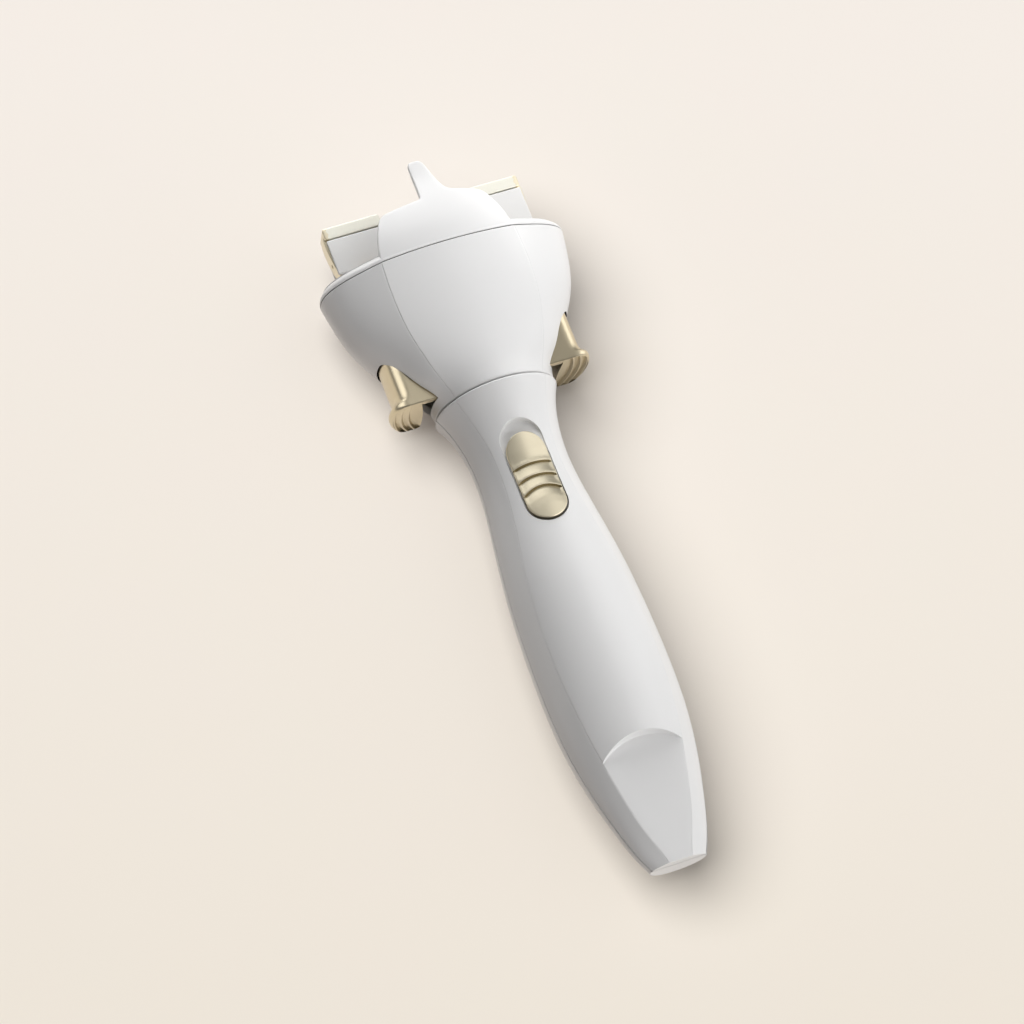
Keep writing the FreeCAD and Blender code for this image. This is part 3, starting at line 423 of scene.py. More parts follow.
class Patch:
    """A grid on a surface that openings can be cut in, each with a rolled edge and a wall."""

    def __init__(self, u, z, surface):
        self.s = surface
        self.u, self.z = u.ravel().copy(), z.ravel().copy()
        n, m = u.shape
        idx = np.arange(n * m).reshape(n, m)
        self.faces = [tuple(q) for q in np.stack(
            [idx[:-1, :-1], idx[:-1, 1:], idx[1:, 1:], idx[1:, :-1]], -1).reshape(-1, 4).tolist()]
        self.extra = []

    def project(self, g, u, z, level):
        for _ in range(6):
            e, h = 4e-4, 0.02
            p = self.s(u, z)
            pu, pz = self.s(u + e, z), self.s(u, z + h)
            g0, gu, gz = g(p) - level, g(pu) - level, g(pz) - level
            lu = np.maximum(np.linalg.norm(pu - p, axis=-1), 1e-6) / e
            lz = np.maximum(np.linalg.norm(pz - p, axis=-1), 1e-6) / h
            du, dz = (gu - g0) / e / lu, (gz - g0) / h / lz
            k = -g0 / np.maximum(du * du + dz * dz, 1e-3)
            k = np.clip(k, -1.5, 1.5)
            u = u + k * du / lu
            z = z + k * dz / lz
        return u, z

    def cut(self, g, r, wall, depth, near=None):
        p = self.s(self.u, self.z)
        val = g(p) - r
        sign = np.where(val >= 0, 1, -1)
        todo = set()
        idx = np.array([f if len(f) == 4 else f + (f[-1],) for f in self.faces])
        for a, b in ((0, 1), (1, 2), (2, 3), (3, 0)):
            i, j = idx[:, a], idx[:, b]
            cross = sign[i] != sign[j]
            i, j = i[cross], j[cross]
            pick = np.where(np.abs(val[i]) < np.abs(val[j]), i, j)
            todo.update(pick.tolist())
        todo = np.array(sorted(todo))
        if len(todo) == 0:
            return
        self.u[todo], self.z[todo] = self.project(g, self.u[todo], self.z[todo], r)
        sign[todo] = 0
        kept = []
        for f in self.faces:
            sg = [sign[k] for k in f]
            if min(sg) >= 0 and max(sg) > 0:
                kept.append(f)
            elif max(sg) <= 0 and min(sg) < 0:
                continue
            elif max(sg) == 0 and min(sg) == 0:
                c = self.s(np.array([self.u[list(f)].mean()]), np.array([self.z[list(f)].mean()]))
                if float(g(c)[0]) - r > 0:
                    kept.append(f)
            else:
                done = False
                if len(f) == 4:
                    for k in (0, 1):
                        if sg[k] == 0 and sg[k + 2] == 0:
                            t1, t2 = (f[k], f[k + 1], f[k + 2]), (f[k], f[k + 2], f[(k + 3) % 4])
                            if sg[k + 1] > 0:
                                kept.append(t1)
                            if sg[(k + 3) % 4] > 0:
                                kept.append(t2)
                            done = True
                            break
                if not done and sum(sg) > 0:
                    kept.append(f)
        self.faces = kept
        count = {}
        for f in kept:
            for a, b in zip(f, f[1:] + f[:1]):
                count[(a, b)] = count.get((a, b), 0) + 1
        zero = set(todo.tolist())
        nxt = {}
        for (a, b) in count:
            if (b, a) not in count and a in zero and b in zero:
                nxt[b] = a
        while nxt:
            start = next(iter(nxt))
            loop, k = [start], nxt.pop(start)
            while k != start and k in nxt:
                loop.append(k)
                k = nxt.pop(k)
            if k != start or len(loop) < 6:
                continue
            loop = np.array(loop)
            u0, z0 = self.project(g, self.u[loop], self.z[loop], 0.0)
            a, c = self.s(self.u[loop], self.z[loop]), self.s(u0, z0)
            d = wall(c) if callable(wall) else np.broadcast_to(np.array(wall, float), c.shape)
            rows = [a]
            e = c + d * r
            for t in (0.2, 0.4, 0.6, 0.8, 1.0):
                rows.append((1 - t) ** 2 * a + 2 * t * (1 - t) * c + t * t * e)
            rows.append(c + d * depth)
            self.extra.append(np.array(rows))

    def into(self, b):
        b.add(self.s(self.u, self.z), self.faces)
        for rows in self.extra:
            b.grid(rows, close=True)


def u_lines(parts):
    """parts: (u0, u1, n, how) with how 'both', 'start' or 'end' for where the lines crowd."""
    out = []
    for u0, u1, n, how in parts:
        t = np.linspace(0, 1, n + 1)
        if how == "both":
            t = 0.55 * t + 0.45 * 0.5 * (1 - np.cos(math.pi * t))
        elif how == "start":
            t = 0.45 * t + 0.55 * (1 - np.cos(math.pi / 2 * t))
        elif how == "end":
            t = 0.45 * t + 0.55 * np.sin(math.pi / 2 * t)
        out.append(u0 + (u1 - u0) * t[(0 if not out else 1):])
    return np.concatenate(out)


def inset_curve(p, d, closed=False):
    """Rows of points in plan moved inwards by d (curve runs anticlockwise seen from +z)."""
    q = p[..., :2]
    if closed:
        t = np.roll(q, -1, 0) - np.roll(q, 1, 0)
    else:
        t = np.gradient(q, axis=0)
    t /= np.maximum(np.hypot(t[:, 0], t[:, 1]), 1e-9)[:, None]
    r = p.copy()
    r[:, 0] -= d * t[:, 1]
    r[:, 1] += d * t[:, 0]
    return r


# ---------------------------------------------------------------------------
# Materials
# ---------------------------------------------------------------------------
def material(name, base, rough, metal=0.0, coat=0.0, grain=0.0, grain_scale=9000.0, tint=0.02, tint_scale=60.0,
             rough_var=0.04, edge=0.0, spec=0.5, streak=None, flake=0.0, ior=1.5, emit=None, sss=0.0):
    """Procedural finish: base colour drifting slightly, fine grain in bump and roughness, worn edges."""
    m = bpy.data.materials.new(name)
    m.use_nodes = True
    nt = m.node_tree
    nd = nt.nodes
    bs = nd["Principled BSDF"]
    link = nt.links.new

    def node(kind, **kw):
        x = nd.new(kind)
        for k, v in kw.items():
            setattr(x, k, v)
        return x
    tc = node("ShaderNodeTexCoord")
    mp = node("ShaderNodeMapping")
    link(tc.outputs["Object"], mp.inputs["Vector"])
    if streak:
        mp.inputs["Scale"].default_value = streak
    drift = node("ShaderNodeTexNoise")
    drift.inputs["Scale"].default_value = tint_scale
    drift.inputs["Detail"].default_value = 4.0
    link(mp.outputs[0], drift.inputs["Vector"])
    ramp = node("ShaderNodeValToRGB")
    lo = [max(0.0, c * (1 - tint)) for c in base]
    hi = [min(1.0, c * (1 + tint)) for c in base]
    ramp.color_ramp.elements[0].position = 0.3
    ramp.color_ramp.elements[1].position = 0.7
    ramp.color_ramp.elements[0].color = (*lo, 1)
    ramp.color_ramp.elements[1].color = (*hi, 1)
    link(drift.outputs["Fac"], ramp.inputs["Fac"])
    colour = ramp.outputs["Color"]
    fine = node("ShaderNodeTexNoise")
    fine.inputs["Scale"].default_value = grain_scale
    fine.inputs["Detail"].default_value = 3.0
    link(mp.outputs[0], fine.inputs["Vector"])
    if flake:
        vor = node("ShaderNodeTexVoronoi")
        vor.inputs["Scale"].default_value = 6500.0
        link(tc.outputs["Object"], vor.inputs["Vector"])
        fr = node("ShaderNodeValToRGB")
        fr.color_ramp.elements[0].color = (*[c * (1 - flake) for c in base], 1)
        fr.color_ramp.elements[1].color = (*[min(1.0, c * (1 + flake)) for c in base], 1)
        link(vor.outputs["Distance"], fr.inputs["Fac"])
        mx = node("ShaderNodeMix", data_type="RGBA")
        mx.inputs["Factor"].default_value = 0.5
        link(colour, mx.inputs[6])
        link(fr.outputs["Color"], mx.inputs[7])
        colour = mx.outputs[2]
    if edge:
        geo = node("ShaderNodeNewGeometry")
        er = node("ShaderNodeValToRGB")
        er.color_ramp.elements[0].position = 0.52
        er.color_ramp.elements[1].position = 0.62
        er.color_ramp.elements[0].color = (0, 0, 0, 1)
        er.color_ramp.elements[1].color = (edge, edge, edge, 1)
        link(geo.outputs["Pointiness"], er.inputs["Fac"])
        mx = node("ShaderNodeMix", data_type="RGBA")
        link(er.outputs["Color"], mx.inputs["Factor"])
        link(colour, mx.inputs[6])
        mx.inputs[7].default_value = (*[min(1.0, c * 1.25 + 0.03) for c in base], 1)
        colour = mx.outputs[2]
    link(colour, bs.inputs["Base Color"])
    rr = node("ShaderNodeMapRange")
    rr.inputs["From Min"].default_value = 0.3
    rr.inputs["From Max"].default_value = 0.7
    rr.inputs["To Min"].default_value = max(0.02, rough - rough_var)
    rr.inputs["To Max"].default_value = rough + rough_var
    smear = node("ShaderNodeTexNoise")
    smear.inputs["Scale"].default_value = 140.0
    smear.inputs["Detail"].default_value = 5.0
    link(mp.outputs[0], smear.inputs["Vector"])
    link(smear.outputs["Fac"], rr.inputs["Value"])
    link(rr.outputs["Result"], bs.inputs["Roughness"])
    if grain:
        bump = node("ShaderNodeBump")
        bump.inputs["Strength"].default_value = grain
        bump.inputs["Distance"].default_value = 0.00002
        link(fine.outputs["Fac"], bump.inputs["Height"])
        link(bump.outputs["Normal"], bs.inputs["Normal"])
    bs.inputs["Metallic"].default_value = metal
    bs.inputs["Coat Weight"].default_value = coat
    bs.inputs["Coat Roughness"].default_value = 0.12
    bs.inputs["IOR"].default_value = ior
    bs.inputs["Specular IOR Level"].default_value = spec
    return m


WHITE = material("shell_white", (0.80, 0.795, 0.79), 0.30, coat=0.25, grain=0.10, tint=0.006, rough_var=0.012)
BLOCKW = material("block_white", (0.80, 0.79, 0.775), 0.36, coat=0.10, grain=0.12, tint=0.01, rough_var=0.015)
GOLD = material("trim_champagne", (0.86, 0.775, 0.58), 0.33, metal=0.80, grain=0.12, tint=0.03, flake=0.05, rough_var=0.02)
# near-black champagne for the knob's grip grooves: painted shade in the grooves
GROOVE_PAINTED_SHADE = material("trim_champagne_groove_painted_shade", (0.17, 0.13, 0.055), 0.45, metal=0.55, grain=0.12, tint=0.06)
# darker, more saturated copy of the champagne trim for the triggers; its darkening is painted shade
DEEP_PAINTED_SHADE = material("trim_champagne_deep_painted_shade", (0.74, 0.645, 0.455), 0.33, metal=0.82, grain=0.12, tint=0.03, flake=0.05, rough_var=0.02)
# paler, less metallic copy of the champagne trim for the jaw strips: painted highlight
PEARL_PAINTED_HIGHLIGHT = material("trim_champagne_pale_painted_highlight", (0.93, 0.91, 0.80), 0.36, metal=0.35, grain=0.12, tint=0.025, flake=0.03, rough_var=0.02)
MATS = {
    "shell_white": WHITE, "block_white": BLOCKW, "trim_champagne": GOLD,
    "tray_grey": material("tray_grey", (0.045, 0.046, 0.05), 0.55, grain=0.4, tint=0.1),
    "cell_sleeve": material("cell_sleeve", (0.05, 0.06, 0.09), 0.28, metal=0.4, coat=0.4, tint=0.08, streak=(1, 0.1, 1)),
    "contact_nickel": material("contact_nickel", (0.66, 0.63, 0.58), 0.24, metal=1.0, grain=0.2, tint=0.06, streak=(1, 0.15, 1)),
    "motor_steel": material("motor_steel", (0.42, 0.42, 0.44), 0.30, metal=1.0, grain=0.25, tint=0.08, streak=(1, 0.05, 1)),
    "gearbox_grey": material("gearbox_grey", (0.38, 0.38, 0.39), 0.50, metal=0.9, grain=0.6, tint=0.08, grain_scale=3000),
    "board_green": material("board_green", (0.012, 0.09, 0.035), 0.34, coat=0.5, grain=0.3, tint=0.2, tint_scale=700),
    "switch_metal": material("switch_metal", (0.58, 0.58, 0.58), 0.28, metal=1.0, grain=0.2, tint=0.05),
    "slider_black": material("slider_black", (0.012, 0.012, 0.012), 0.45, grain=0.4, tint=0.2),
    "bush_brass": material("bush_brass", (0.60, 0.42, 0.17), 0.30, metal=1.0, grain=0.2, tint=0.08, streak=(1, 0.05, 1)),
    "shaft_steel": material("shaft_steel", (0.55, 0.55, 0.56), 0.16, metal=1.0, grain=0.1, tint=0.05, streak=(1, 0.05, 1)),
    "screw_steel": material("screw_steel", (0.40, 0.40, 0.41), 0.32, metal=1.0, grain=0.2, tint=0.1, edge=0.5),
    "gear_acetal": material("gear_acetal", (0.74, 0.72, 0.65), 0.42, grain=0.2, tint=0.02, spec=0.4),
    "plate_white": material("plate_white", (0.62, 0.62, 0.61), 0.50, grain=0.3, tint=0.03),
    "pad_rubber": material("pad_rubber", (0.022, 0.022, 0.022), 0.72, grain=0.8, tint=0.15, grain_scale=5000),
    "spring_steel": material("spring_steel", (0.40, 0.40, 0.41), 0.25, metal=1.0, grain=0.2, tint=0.1),
}
SLOT_OF = {s["node"]: s["material_slot"] for s in frame["record"]["subparts"]}
for name, ob in frame["nodes"].items():
    ob.data.materials.clear()
    ob.data.materials.append(MATS[SLOT_OF[name]])


def stand(ob, body, node):
    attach(ob, body)
    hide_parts(node)


# ---------------------------------------------------------------------------
# Handle shells
# ---------------------------------------------------------------------------
hs = Skin(HANDLE, 0.0, HANDLE_TOP, sigma=0.26, groove=0.11)
ARC_TOP, ARC_END, ARC_HALF = 36.7, 32.0, 12.3
ARC_R = (ARC_HALF ** 2 + (ARC_TOP - ARC_END) ** 2) / (2 * (ARC_TOP - ARC_END))


def arc_z(x):
    return ARC_TOP - ARC_R + np.sqrt(np.maximum(ARC_R ** 2 - x ** 2, 4.0))


def facet_y(z):
    return -5.0 - 0.15 * z


def faceted(u, z):
    """Handle surface with the flat facet under its arc-shaped step."""
    p = hs(u, z)
    a, b = p[..., 1], facet_y(z)
    k = 0.30
    low = 0.5 * (a + b + np.sqrt((a - b) ** 2 + k * k)) - 0.5 * (np.sqrt((a - b) ** 2 + k * k) - np.abs(a - b)) * (a > b)
    t = np.clip((arc_z(p[..., 0]) - z) / 0.5 + 0.5, 0, 1)
    t = t * t * (3 - 2 * t)
    p[..., 1] = a + t * np.maximum(low - a, 0)
    return p


def front_rows(us):
    """z of every grid point: rows follow the arc of the facet step, then level out."""
    steps = [1.0, 0.45, 0.3, 0.2, 0.12, 0.05, 0.0, -0.05, -0.12, -0.2, -0.3, -0.45]
    low = np.linspace(0, 1, 34)
    rows = []

    def settle(fn):
        z = np.full(len(us), 30.0)
        for _ in range(8):
            z = fn(hs(us, z)[:, 0])
        return z
    for t in low[:-1]:
        rows.append(settle(lambda x, t=t: 0.3 + t * (arc_z(x) - 1.2 - 0.3)))
    for s in reversed([-v for v in steps]):
        rows.append(settle(lambda x, s=s: arc_z(x) + s))
    rows = rows[:len(low) - 1] + sorted(rows[len(low) - 1:], key=lambda r: float(r.mean()))
    for t in np.linspace(0, 1, 22)[1:]:
        rows.append(settle(lambda x, t=t: (arc_z(x) + 1.0) * (1 - t) + 48.0 * t))
    for z in np.arange(48.8, HANDLE_TOP - 0.6, 0.8):
        rows.append(np.full(len(us), z))
    rows.append(np.full(len(us), HANDLE_TOP - 0.4))
    return np.array(rows)


def slot_g(p):
    z = np.clip(p[..., 2], SLOT_Z0 + SLOT_HALF, SLOT_Z1 - SLOT_HALF)
    return np.hypot(p[..., 0], p[..., 2] - z) - SLOT_HALF


def drawn_in(curve, d):
    """Section drawn in towards the axis by d, which keeps its corners clean."""
    q = curve.copy()
    q[:, :2] *= (1 - d / np.maximum(np.hypot(q[:, 0], q[:, 1]), 1e-6))[:, None]
    return q


def end_caps(b, bottom, top, rings_at_top=12.6, y_part=None):
    """Rounded end at z = 0 with its flat face, and the neck rim."""
    for curve, z, dirn, r in ((bottom, 0.0, 1, 0.3), (top, HANDLE_TOP, -1, 0.4)):
        rows = []
        for k in range(6):
            a = math.pi / 2 * k / 5
            q = drawn_in(curve, r * (1 - math.cos(a)))
            q[:, 2] = z + dirn * r * (1 - math.sin(a))
            rows.append(q)
        last = rows[-1]
        if dirn > 0:
            flat = last.copy()
            flat[:, 0] *= 0.97
            flat[:, 1] = y_part
            for t in (0.2, 0.5, 1.0):
                rows.append(last * (1 - t) + flat * t)
        else:
            ang = np.arctan2(last[:, 1], last[:, 0])
            rows.append(np.stack([rings_at_top * np.cos(ang), rings_at_top * np.sin(ang), last[:, 2]], 1))
            rows.append(np.stack([rings_at_top * np.cos(ang), rings_at_top * np.sin(ang), last[:, 2] - 4.0], 1))
        b.grid(np.array(rows))


def lip(b, curve, y_edge, sgn, r=0.25, depth=1.9):
    """Edge of a shell rolled in at the parting plane. curve runs up the side."""
    side = np.sign(curve[:, 0])
    rows = []
    for k in range(5):
        a = math.pi / 2 * k / 4
        q = curve.copy()
        q[:, 0] = curve[:, 0] - side * r * (1 - math.cos(a))
        q[:, 1] = y_edge + sgn * r * (1 - math.sin(a))
        rows.append(q)
    q = rows[-1].copy()
    q[:, 0] -= side * depth
    rows.append(q)
    b.grid(np.array(rows))


us = u_lines([(0.006, 0.242, 20, "end"), (0.242, 0.258, 14, ""), (0.258, 0.742, 50, "both"), (0.742, 0.758, 14, ""),
              (0.758, 0.994, 20, "start")])
zz = front_rows(us)
uu = np.broadcast_to(us, zz.shape)
patch = Patch(uu, zz, faceted)
patch.cut(slot_g, 0.16, (0.0, 1.0, 0.0), 0.0)
b = Build()
# the slot's wall runs down to its floor
for rows in patch.extra:
    rows[-1] = rows[-2]
    rows[-1][:, 1] = SLOT_FLOOR - 0.35
    foot = rows[-1].copy()
    ring_xy = foot[:, [0, 2]]
    o = ccw(ring_xy)
    turn = len(o) and not np.allclose(o[0], ring_xy[0])
    add = []
    for k in (1, 2, 3):
        a = math.pi / 2 * k / 3
        cen = np.stack([np.zeros(len(foot)), np.clip(foot[:, 2], SLOT_Z0 + SLOT_HALF, SLOT_Z1 - SLOT_HALF)], 1)
        d = ring_xy - cen
        d /= np.maximum(np.hypot(d[:, 0], d[:, 1]), 1e-6)[:, None]
        q = foot.copy()
        q[:, 0] -= d[:, 0] * 0.35 * (1 - math.cos(a))
        q[:, 2] -= d[:, 1] * 0.35 * (1 - math.cos(a))
        q[:, 1] = SLOT_FLOOR - 0.35 + 0.35 * math.sin(a)
        add.append(q)
    rows_all = np.concatenate([rows, np.array(add)], 0)
    floor_loop = ccw(add[-1][:, [0, 2]])
    b.grid(rows_all, close=True)
    v, f = fill(floor_loop, 1.2)
    b.add(np.column_stack([v[:, 0], np.full(len(v), SLOT_FLOOR), v[:, 1]]), f.tolist())
patch.extra = []
patch.into(b)
bottom = faceted(us, np.full(len(us), 0.3))
bottom[:, 2] = 0.3
first = faceted(us, zz[0])
base_curve = faceted(us, np.full(len(us), 0.3))
top_curve = hs(us, np.full(len(us), HANDLE_TOP - 0.4))
yf_edge = PART_Y - SEAM
b.grid(np.array([faceted(us, zz[0]), inset_curve(base_curve, 0.0) * [1, 1, 0] + [0, 0, 0.3]]))
b.grid(np.array([hs(us, np.full(len(us), HANDLE_TOP - 0.4)), top_curve * [1, 1, 0] + [0, 0, HANDLE_TOP - 0.4]]))
end_caps(b, base_curve, top_curve, y_part=yf_edge)
for k, sx in ((0, -1), (-1, 1)):
    edge = faceted(np.full(zz.shape[0], us[k]), zz[:, k])
    edge = np.vstack([base_curve[k] * [1, 1, 0] + [0, 0, 0.3], edge, top_curve[k] * [1, 1, 0] + [0, 0, HANDLE_TOP - 0.4]])
    strip = edge.copy()
    strip[:, 1] = yf_edge - 0.25
    b.grid(np.array([edge, strip]))
    lip(b, strip, yf_edge, -1)
front_shell = b.make("front_shell_skin", [WHITE, MATS["slider_black"]], outward=dev([[0, 0, 80]])[0])
# slot wall faces round the lower part of the knob get the black slider material: painted shade in the gap beside the
# knob
for poly in front_shell.data.polygons:
    x, z, y = poly.center[0] * 1000, poly.center[1] * 1000 + 113.25, 19.5 - poly.center[2] * 1000
    zc = min(max(z, SLOT_Z0 + SLOT_HALF), SLOT_Z1 - SLOT_HALF)
    if SLOT_Z0 - 1 < z < 126.0 and abs(math.hypot(x, z - zc) - SLOT_HALF) < 0.2 and abs(poly.normal[2]) < 0.3 and y > -13.9:
        poly.material_index = 1
stand(front_shell, "handle", "handle_front_shell")

# rear shell, with the door opening and the screw wells
hb = hs.height(front=False, half=14.0)
us = u_lines([(1.006, 1.5, 46, "start"), (1.5, 1.994, 46, "end")])
zs = np.concatenate([[0.3], np.arange(1.0, HANDLE_TOP - 0.6, 0.75), [HANDLE_TOP - 0.4]])
uu, zz = np.meshgrid(us, zs)
patch = Patch(uu, zz, hs)


def rect_g(x0, x1, z0, z1, rad):
    def g(p):
        dx = np.abs(p[..., 0] - (x0 + x1) / 2) - ((x1 - x0) / 2 - rad)
        dz = np.abs(p[..., 2] - (z0 + z1) / 2) - ((z1 - z0) / 2 - rad)
        return np.minimum(np.maximum(dx, dz), 0) + np.hypot(np.maximum(dx, 0), np.maximum(dz, 0)) - rad
    return g


def hole_g(x, z, r):
    return lambda p: np.hypot(p[..., 0] - x, p[..., 2] - z) - r


patch.cut(rect_g(-12.5, 12.5, 32.3, 93.8, 4.3), 0.25, (0.0, -1.0, 0.0), 2.0)
for x, z in SCREWS:
    patch.cut(hole_g(x, z, 2.3), 0.25, (0.0, -1.0, 0.0), 2.9)
b = Build()
patch.into(b)
base_curve = hs(us, np.full(len(us), 0.3))
top_curve = hs(us, np.full(len(us), HANDLE_TOP - 0.4))
yr_edge = PART_Y + SEAM
b.grid(np.array([hs(us, np.full(len(us), 0.3)), base_curve * [1, 1, 0] + [0, 0, 0.3]]))
b.grid(np.array([hs(us, np.full(len(us), HANDLE_TOP - 0.4)), top_curve * [1, 1, 0] + [0, 0, HANDLE_TOP - 0.4]]))
end_caps(b, base_curve, top_curve, y_part=yr_edge)
for k in (0, -1):
    edge = hs(np.full(len(zs), us[k]), zs)
    edge = np.vstack([base_curve[k] * [1, 1, 0] + [0, 0, 0.3], edge, top_curve[k] * [1, 1, 0] + [0, 0, HANDLE_TOP - 0.4]])
    strip = edge.copy()
    strip[:, 1] = yr_edge + 0.25
    b.grid(np.array([edge, strip]))
    lip(b, strip, yr_edge, 1)
rear_shell = b.make("rear_shell_skin", [WHITE], outward=dev([[0, 0, 80]])[0])
stand(rear_shell, "handle", "handle_rear_shell")


def rounded_rect(x0, x1, z0, z1, r, n=10):
    out = []
    for cx, cz, a0 in ((x1 - r, z1 - r, 0), (x0 + r, z1 - r, 90), (x0 + r, z0 + r, 180), (x1 - r, z0 + r, 270)):
        for k in range(n + 1):
            a = math.radians(a0 + 90.0 * k / n)
            out.append((cx + r * math.cos(a), cz + r * math.sin(a)))
    return np.array(out)


def obround(half, z0, z1, n=28):
    out = []
    for cz, a0 in ((z1 - half, 0), (z0 + half, 180)):
        for k in range(n + 1):
            a = math.radians(a0 + 180.0 * k / n)
            out.append((half * math.cos(a), cz + half * math.sin(a)))
    return np.array(out)


def door_out(x, z):
    y = hb(x, z)
    cz, cy, rad = 93.3 - 9.0, 18.9 + 8.1, 9.0
    q = rad ** 2 - x ** 2 - (z - cz) ** 2
    dent = np.where(q > 0, cy - np.sqrt(np.maximum(q, 0)), 99.0)
    return np.where(z < 85.3, np.minimum(y, np.maximum(dent, y - 0.8)), y)


b = Build()
loop = resample(rounded_rect(-12.2, 12.2, 32.6, 93.3, 4.0), 0.7)
dent_edge = [(9.0 * 0.62 * math.cos(t), 84.3 + 9.0 * 0.62 * math.sin(t)) for t in np.linspace(math.pi, 2 * math.pi, 30)]
plate(b, loop, door_out, lambda x, z: hb(x, z) - 1.95, 0.25, as_xz, step=1.0)
knuckle = [(17.1 + 0.8 * math.cos(t), 32.3 + 0.8 * math.sin(t)) for t in np.linspace(0, 2 * math.pi, 33)[:-1]]
plate(b, np.array(knuckle), -3.5, 3.5, 0.15, lambda p: np.stack([p[..., 2], p[..., 0], p[..., 1]], -1), step=0.5)
door = b.make("battery_door_skin", [WHITE])
stand(door, "door", "battery_door")

# ---------------------------------------------------------------------------
# Slide switch knob
# ---------------------------------------------------------------------------
hf = hs.height(front=True, half=9.0)
RIB_Z = (128.1, 125.3, 124.05, 123.80, 123.30, 122.1, 121.1, 120.05, 119.80, 119.30, 118.2, 117.3, 116.35, 116.1, 115.6, 114.3,
         112.6, 110.1)
RIB_D = (0.0, 0.22, 0.0, 0.03, 0.80, 0.56, 0.32, 0.02, 0.05, 0.80, 0.54, 0.30, 0.02, 0.05, 0.82, 0.46, 0.16, 0.0)


def rib_sag(x, z):
    """How far the grip's arcs drop towards the sides."""
    return x * x * np.interp(z, [114.1, 116.1, 119.8, 123.8, 127.1], [0.052, 0.050, 0.024, 0.017, 0.008])


def rib_depth(x, z):
    d = np.interp(z + rib_sag(x, z), RIB_Z[::-1], RIB_D[::-1])
    return d * np.clip((6.3 - np.abs(x)) / 1.2, 0.35, 1)


def knob_top(x, z):
    return hf(x, z) - 0.68 + rib_depth(x, z)


lines = []
for zk in RIB_Z:
    xs = np.linspace(-6.0, 6.0, 42)
    z = np.full(42, zk)
    for _ in range(12):
        z = 0.5 * z + 0.5 * (zk - rib_sag(xs, z))
    lines.append(np.column_stack([xs, z]))
loop = resample(obround(KNOB_HALF, KNOB_Z0, KNOB_Z1), 0.28)
b = Build()
plate(b, loop, knob_top, -12.5, 0.30, as_xz, r2=0.1, step=0.5, lines=lines, n=5)
post = resample(obround(1.5, 112.6, 122.0), 0.5)
plate(b, post, -12.6, -10.85, 0.05, as_xz, step=0.8)
knob = b.make("slide_knob_skin", [GOLD, GROOVE_PAINTED_SHADE], sharp=32)
# the steep drop face under each grip rib gets the near-black champagne: painted shade in the grooves
for poly in knob.data.polygons:
    x, z = poly.center[0] * 1000, poly.center[1] * 1000 + 113.25
    q = z + float(rib_sag(x, z))
    deep = max(0.6, 1.0 - (x / 6.0) ** 2) ** 0.5
    poly.material_index = int(poly.normal[2] > 0.1 and poly.normal[1] < -0.22
                              and any(top - 0.5 - 0.02 < q < top - 0.5 + 0.5 * deep for top in (123.8, 119.8, 116.1)))
stand(knob, "switch", "switch_knob")

# ---------------------------------------------------------------------------
# Head: cone
# ---------------------------------------------------------------------------
TO, TB, TF, TK, TR, TG, RHO_FRONT = 29.6, 16.0, 8.1, 11.0, 2.0, 0.55, 4.0


def trig_plan_g(p, gap):
    x, y = np.abs(p[..., 0]), p[..., 1]
    rho = np.where(y < 0, RHO_FRONT, TR) + gap
    d1 = np.hypot(x - (TO - TB), y) - (TB + gap) + rho
    d2 = np.abs(y - (TK - TF) / 2) - ((TK + TF) / 2 + gap) + rho
    return np.minimum(np.maximum(d1, d2), 0) + np.hypot(np.maximum(d1, 0), np.maximum(d2, 0)) - rho


def trig_g(p):
    a = trig_plan_g(p, TG)
    c = (154.0 - 0.3) - p[..., 2]
    top = p[..., 2] - 178.2
    return np.maximum(np.maximum(a, c), np.maximum(top, 14.0 - np.abs(p[..., 0])))


def trig_wall(c):
    low = (c[:, 2] < 153.75)[:, None]
    side = np.stack([-np.sign(c[:, 0]), np.zeros(len(c)), np.zeros(len(c))], 1)
    return np.where(low, side, np.array([0.0, 0.0, 1.0]))


CONE_TOP = SEAM_Z - 0.1
cs = Skin(CONE, NECK_Z, 196.3, sigma=0.30, groove=0.12)
us = u_lines([(-0.5, 0.0, 34, "end"), (0.0, 0.243, 34, "end"), (0.243, 0.257, 12, ""), (0.257, 0.743, 46, "both"),
              (0.743, 0.757, 12, ""), (0.757, 1.0, 34, "start"), (1.0, 1.5, 34, "start")])
zs = np.concatenate([[NECK_Z + 0.5], np.arange(151.9, 178.0, 0.45), np.arange(178.4, CONE_TOP - 0.4, 0.8), [CONE_TOP - 0.12]])
uu, zz = np.meshgrid(us, zs)
patch = Patch(uu, zz, cs)
patch.cut(trig_g, 0.22, trig_wall, 3.4)
b = Build()
patch.into(b)
for z, dirn, r, rim in ((NECK_Z, 1, 0.5, 10.0), (CONE_TOP, -1, 0.12, None)):
    curve = cs(us, np.full(len(us), z + dirn * r))[:-1]
    rows = []
    for k in range(6):
        a = math.pi / 2 * k / 5
        q = inset_curve(curve, r * (1 - math.cos(a)), closed=True)
        q[:, 2] = z + dirn * r * (1 - math.sin(a))
        rows.append(q)
    last = rows[-1]
    if rim:
        ang = np.arctan2(last[:, 1], last[:, 0])
        circ = np.stack([rim * np.cos(ang), rim * np.sin(ang), last[:, 2]], 1)
        rows += [last * 0.5 + circ * 0.5, circ, circ - [0, 0, 5.0]]
    else:
        q = inset_curve(last, 1.7, closed=True)
        rows += [q, q - [0, 0, 3.0]]
    b.grid(np.array(rows), close=True)
cone = b.make("head_cone_skin", [WHITE, MATS["slider_black"]], outward=dev([[0, 0, 175]])[0])
co_v = np.array([list(p.center) for p in cone.data.polygons])
co_n = np.array([list(p.normal) for p in cone.data.polygons])
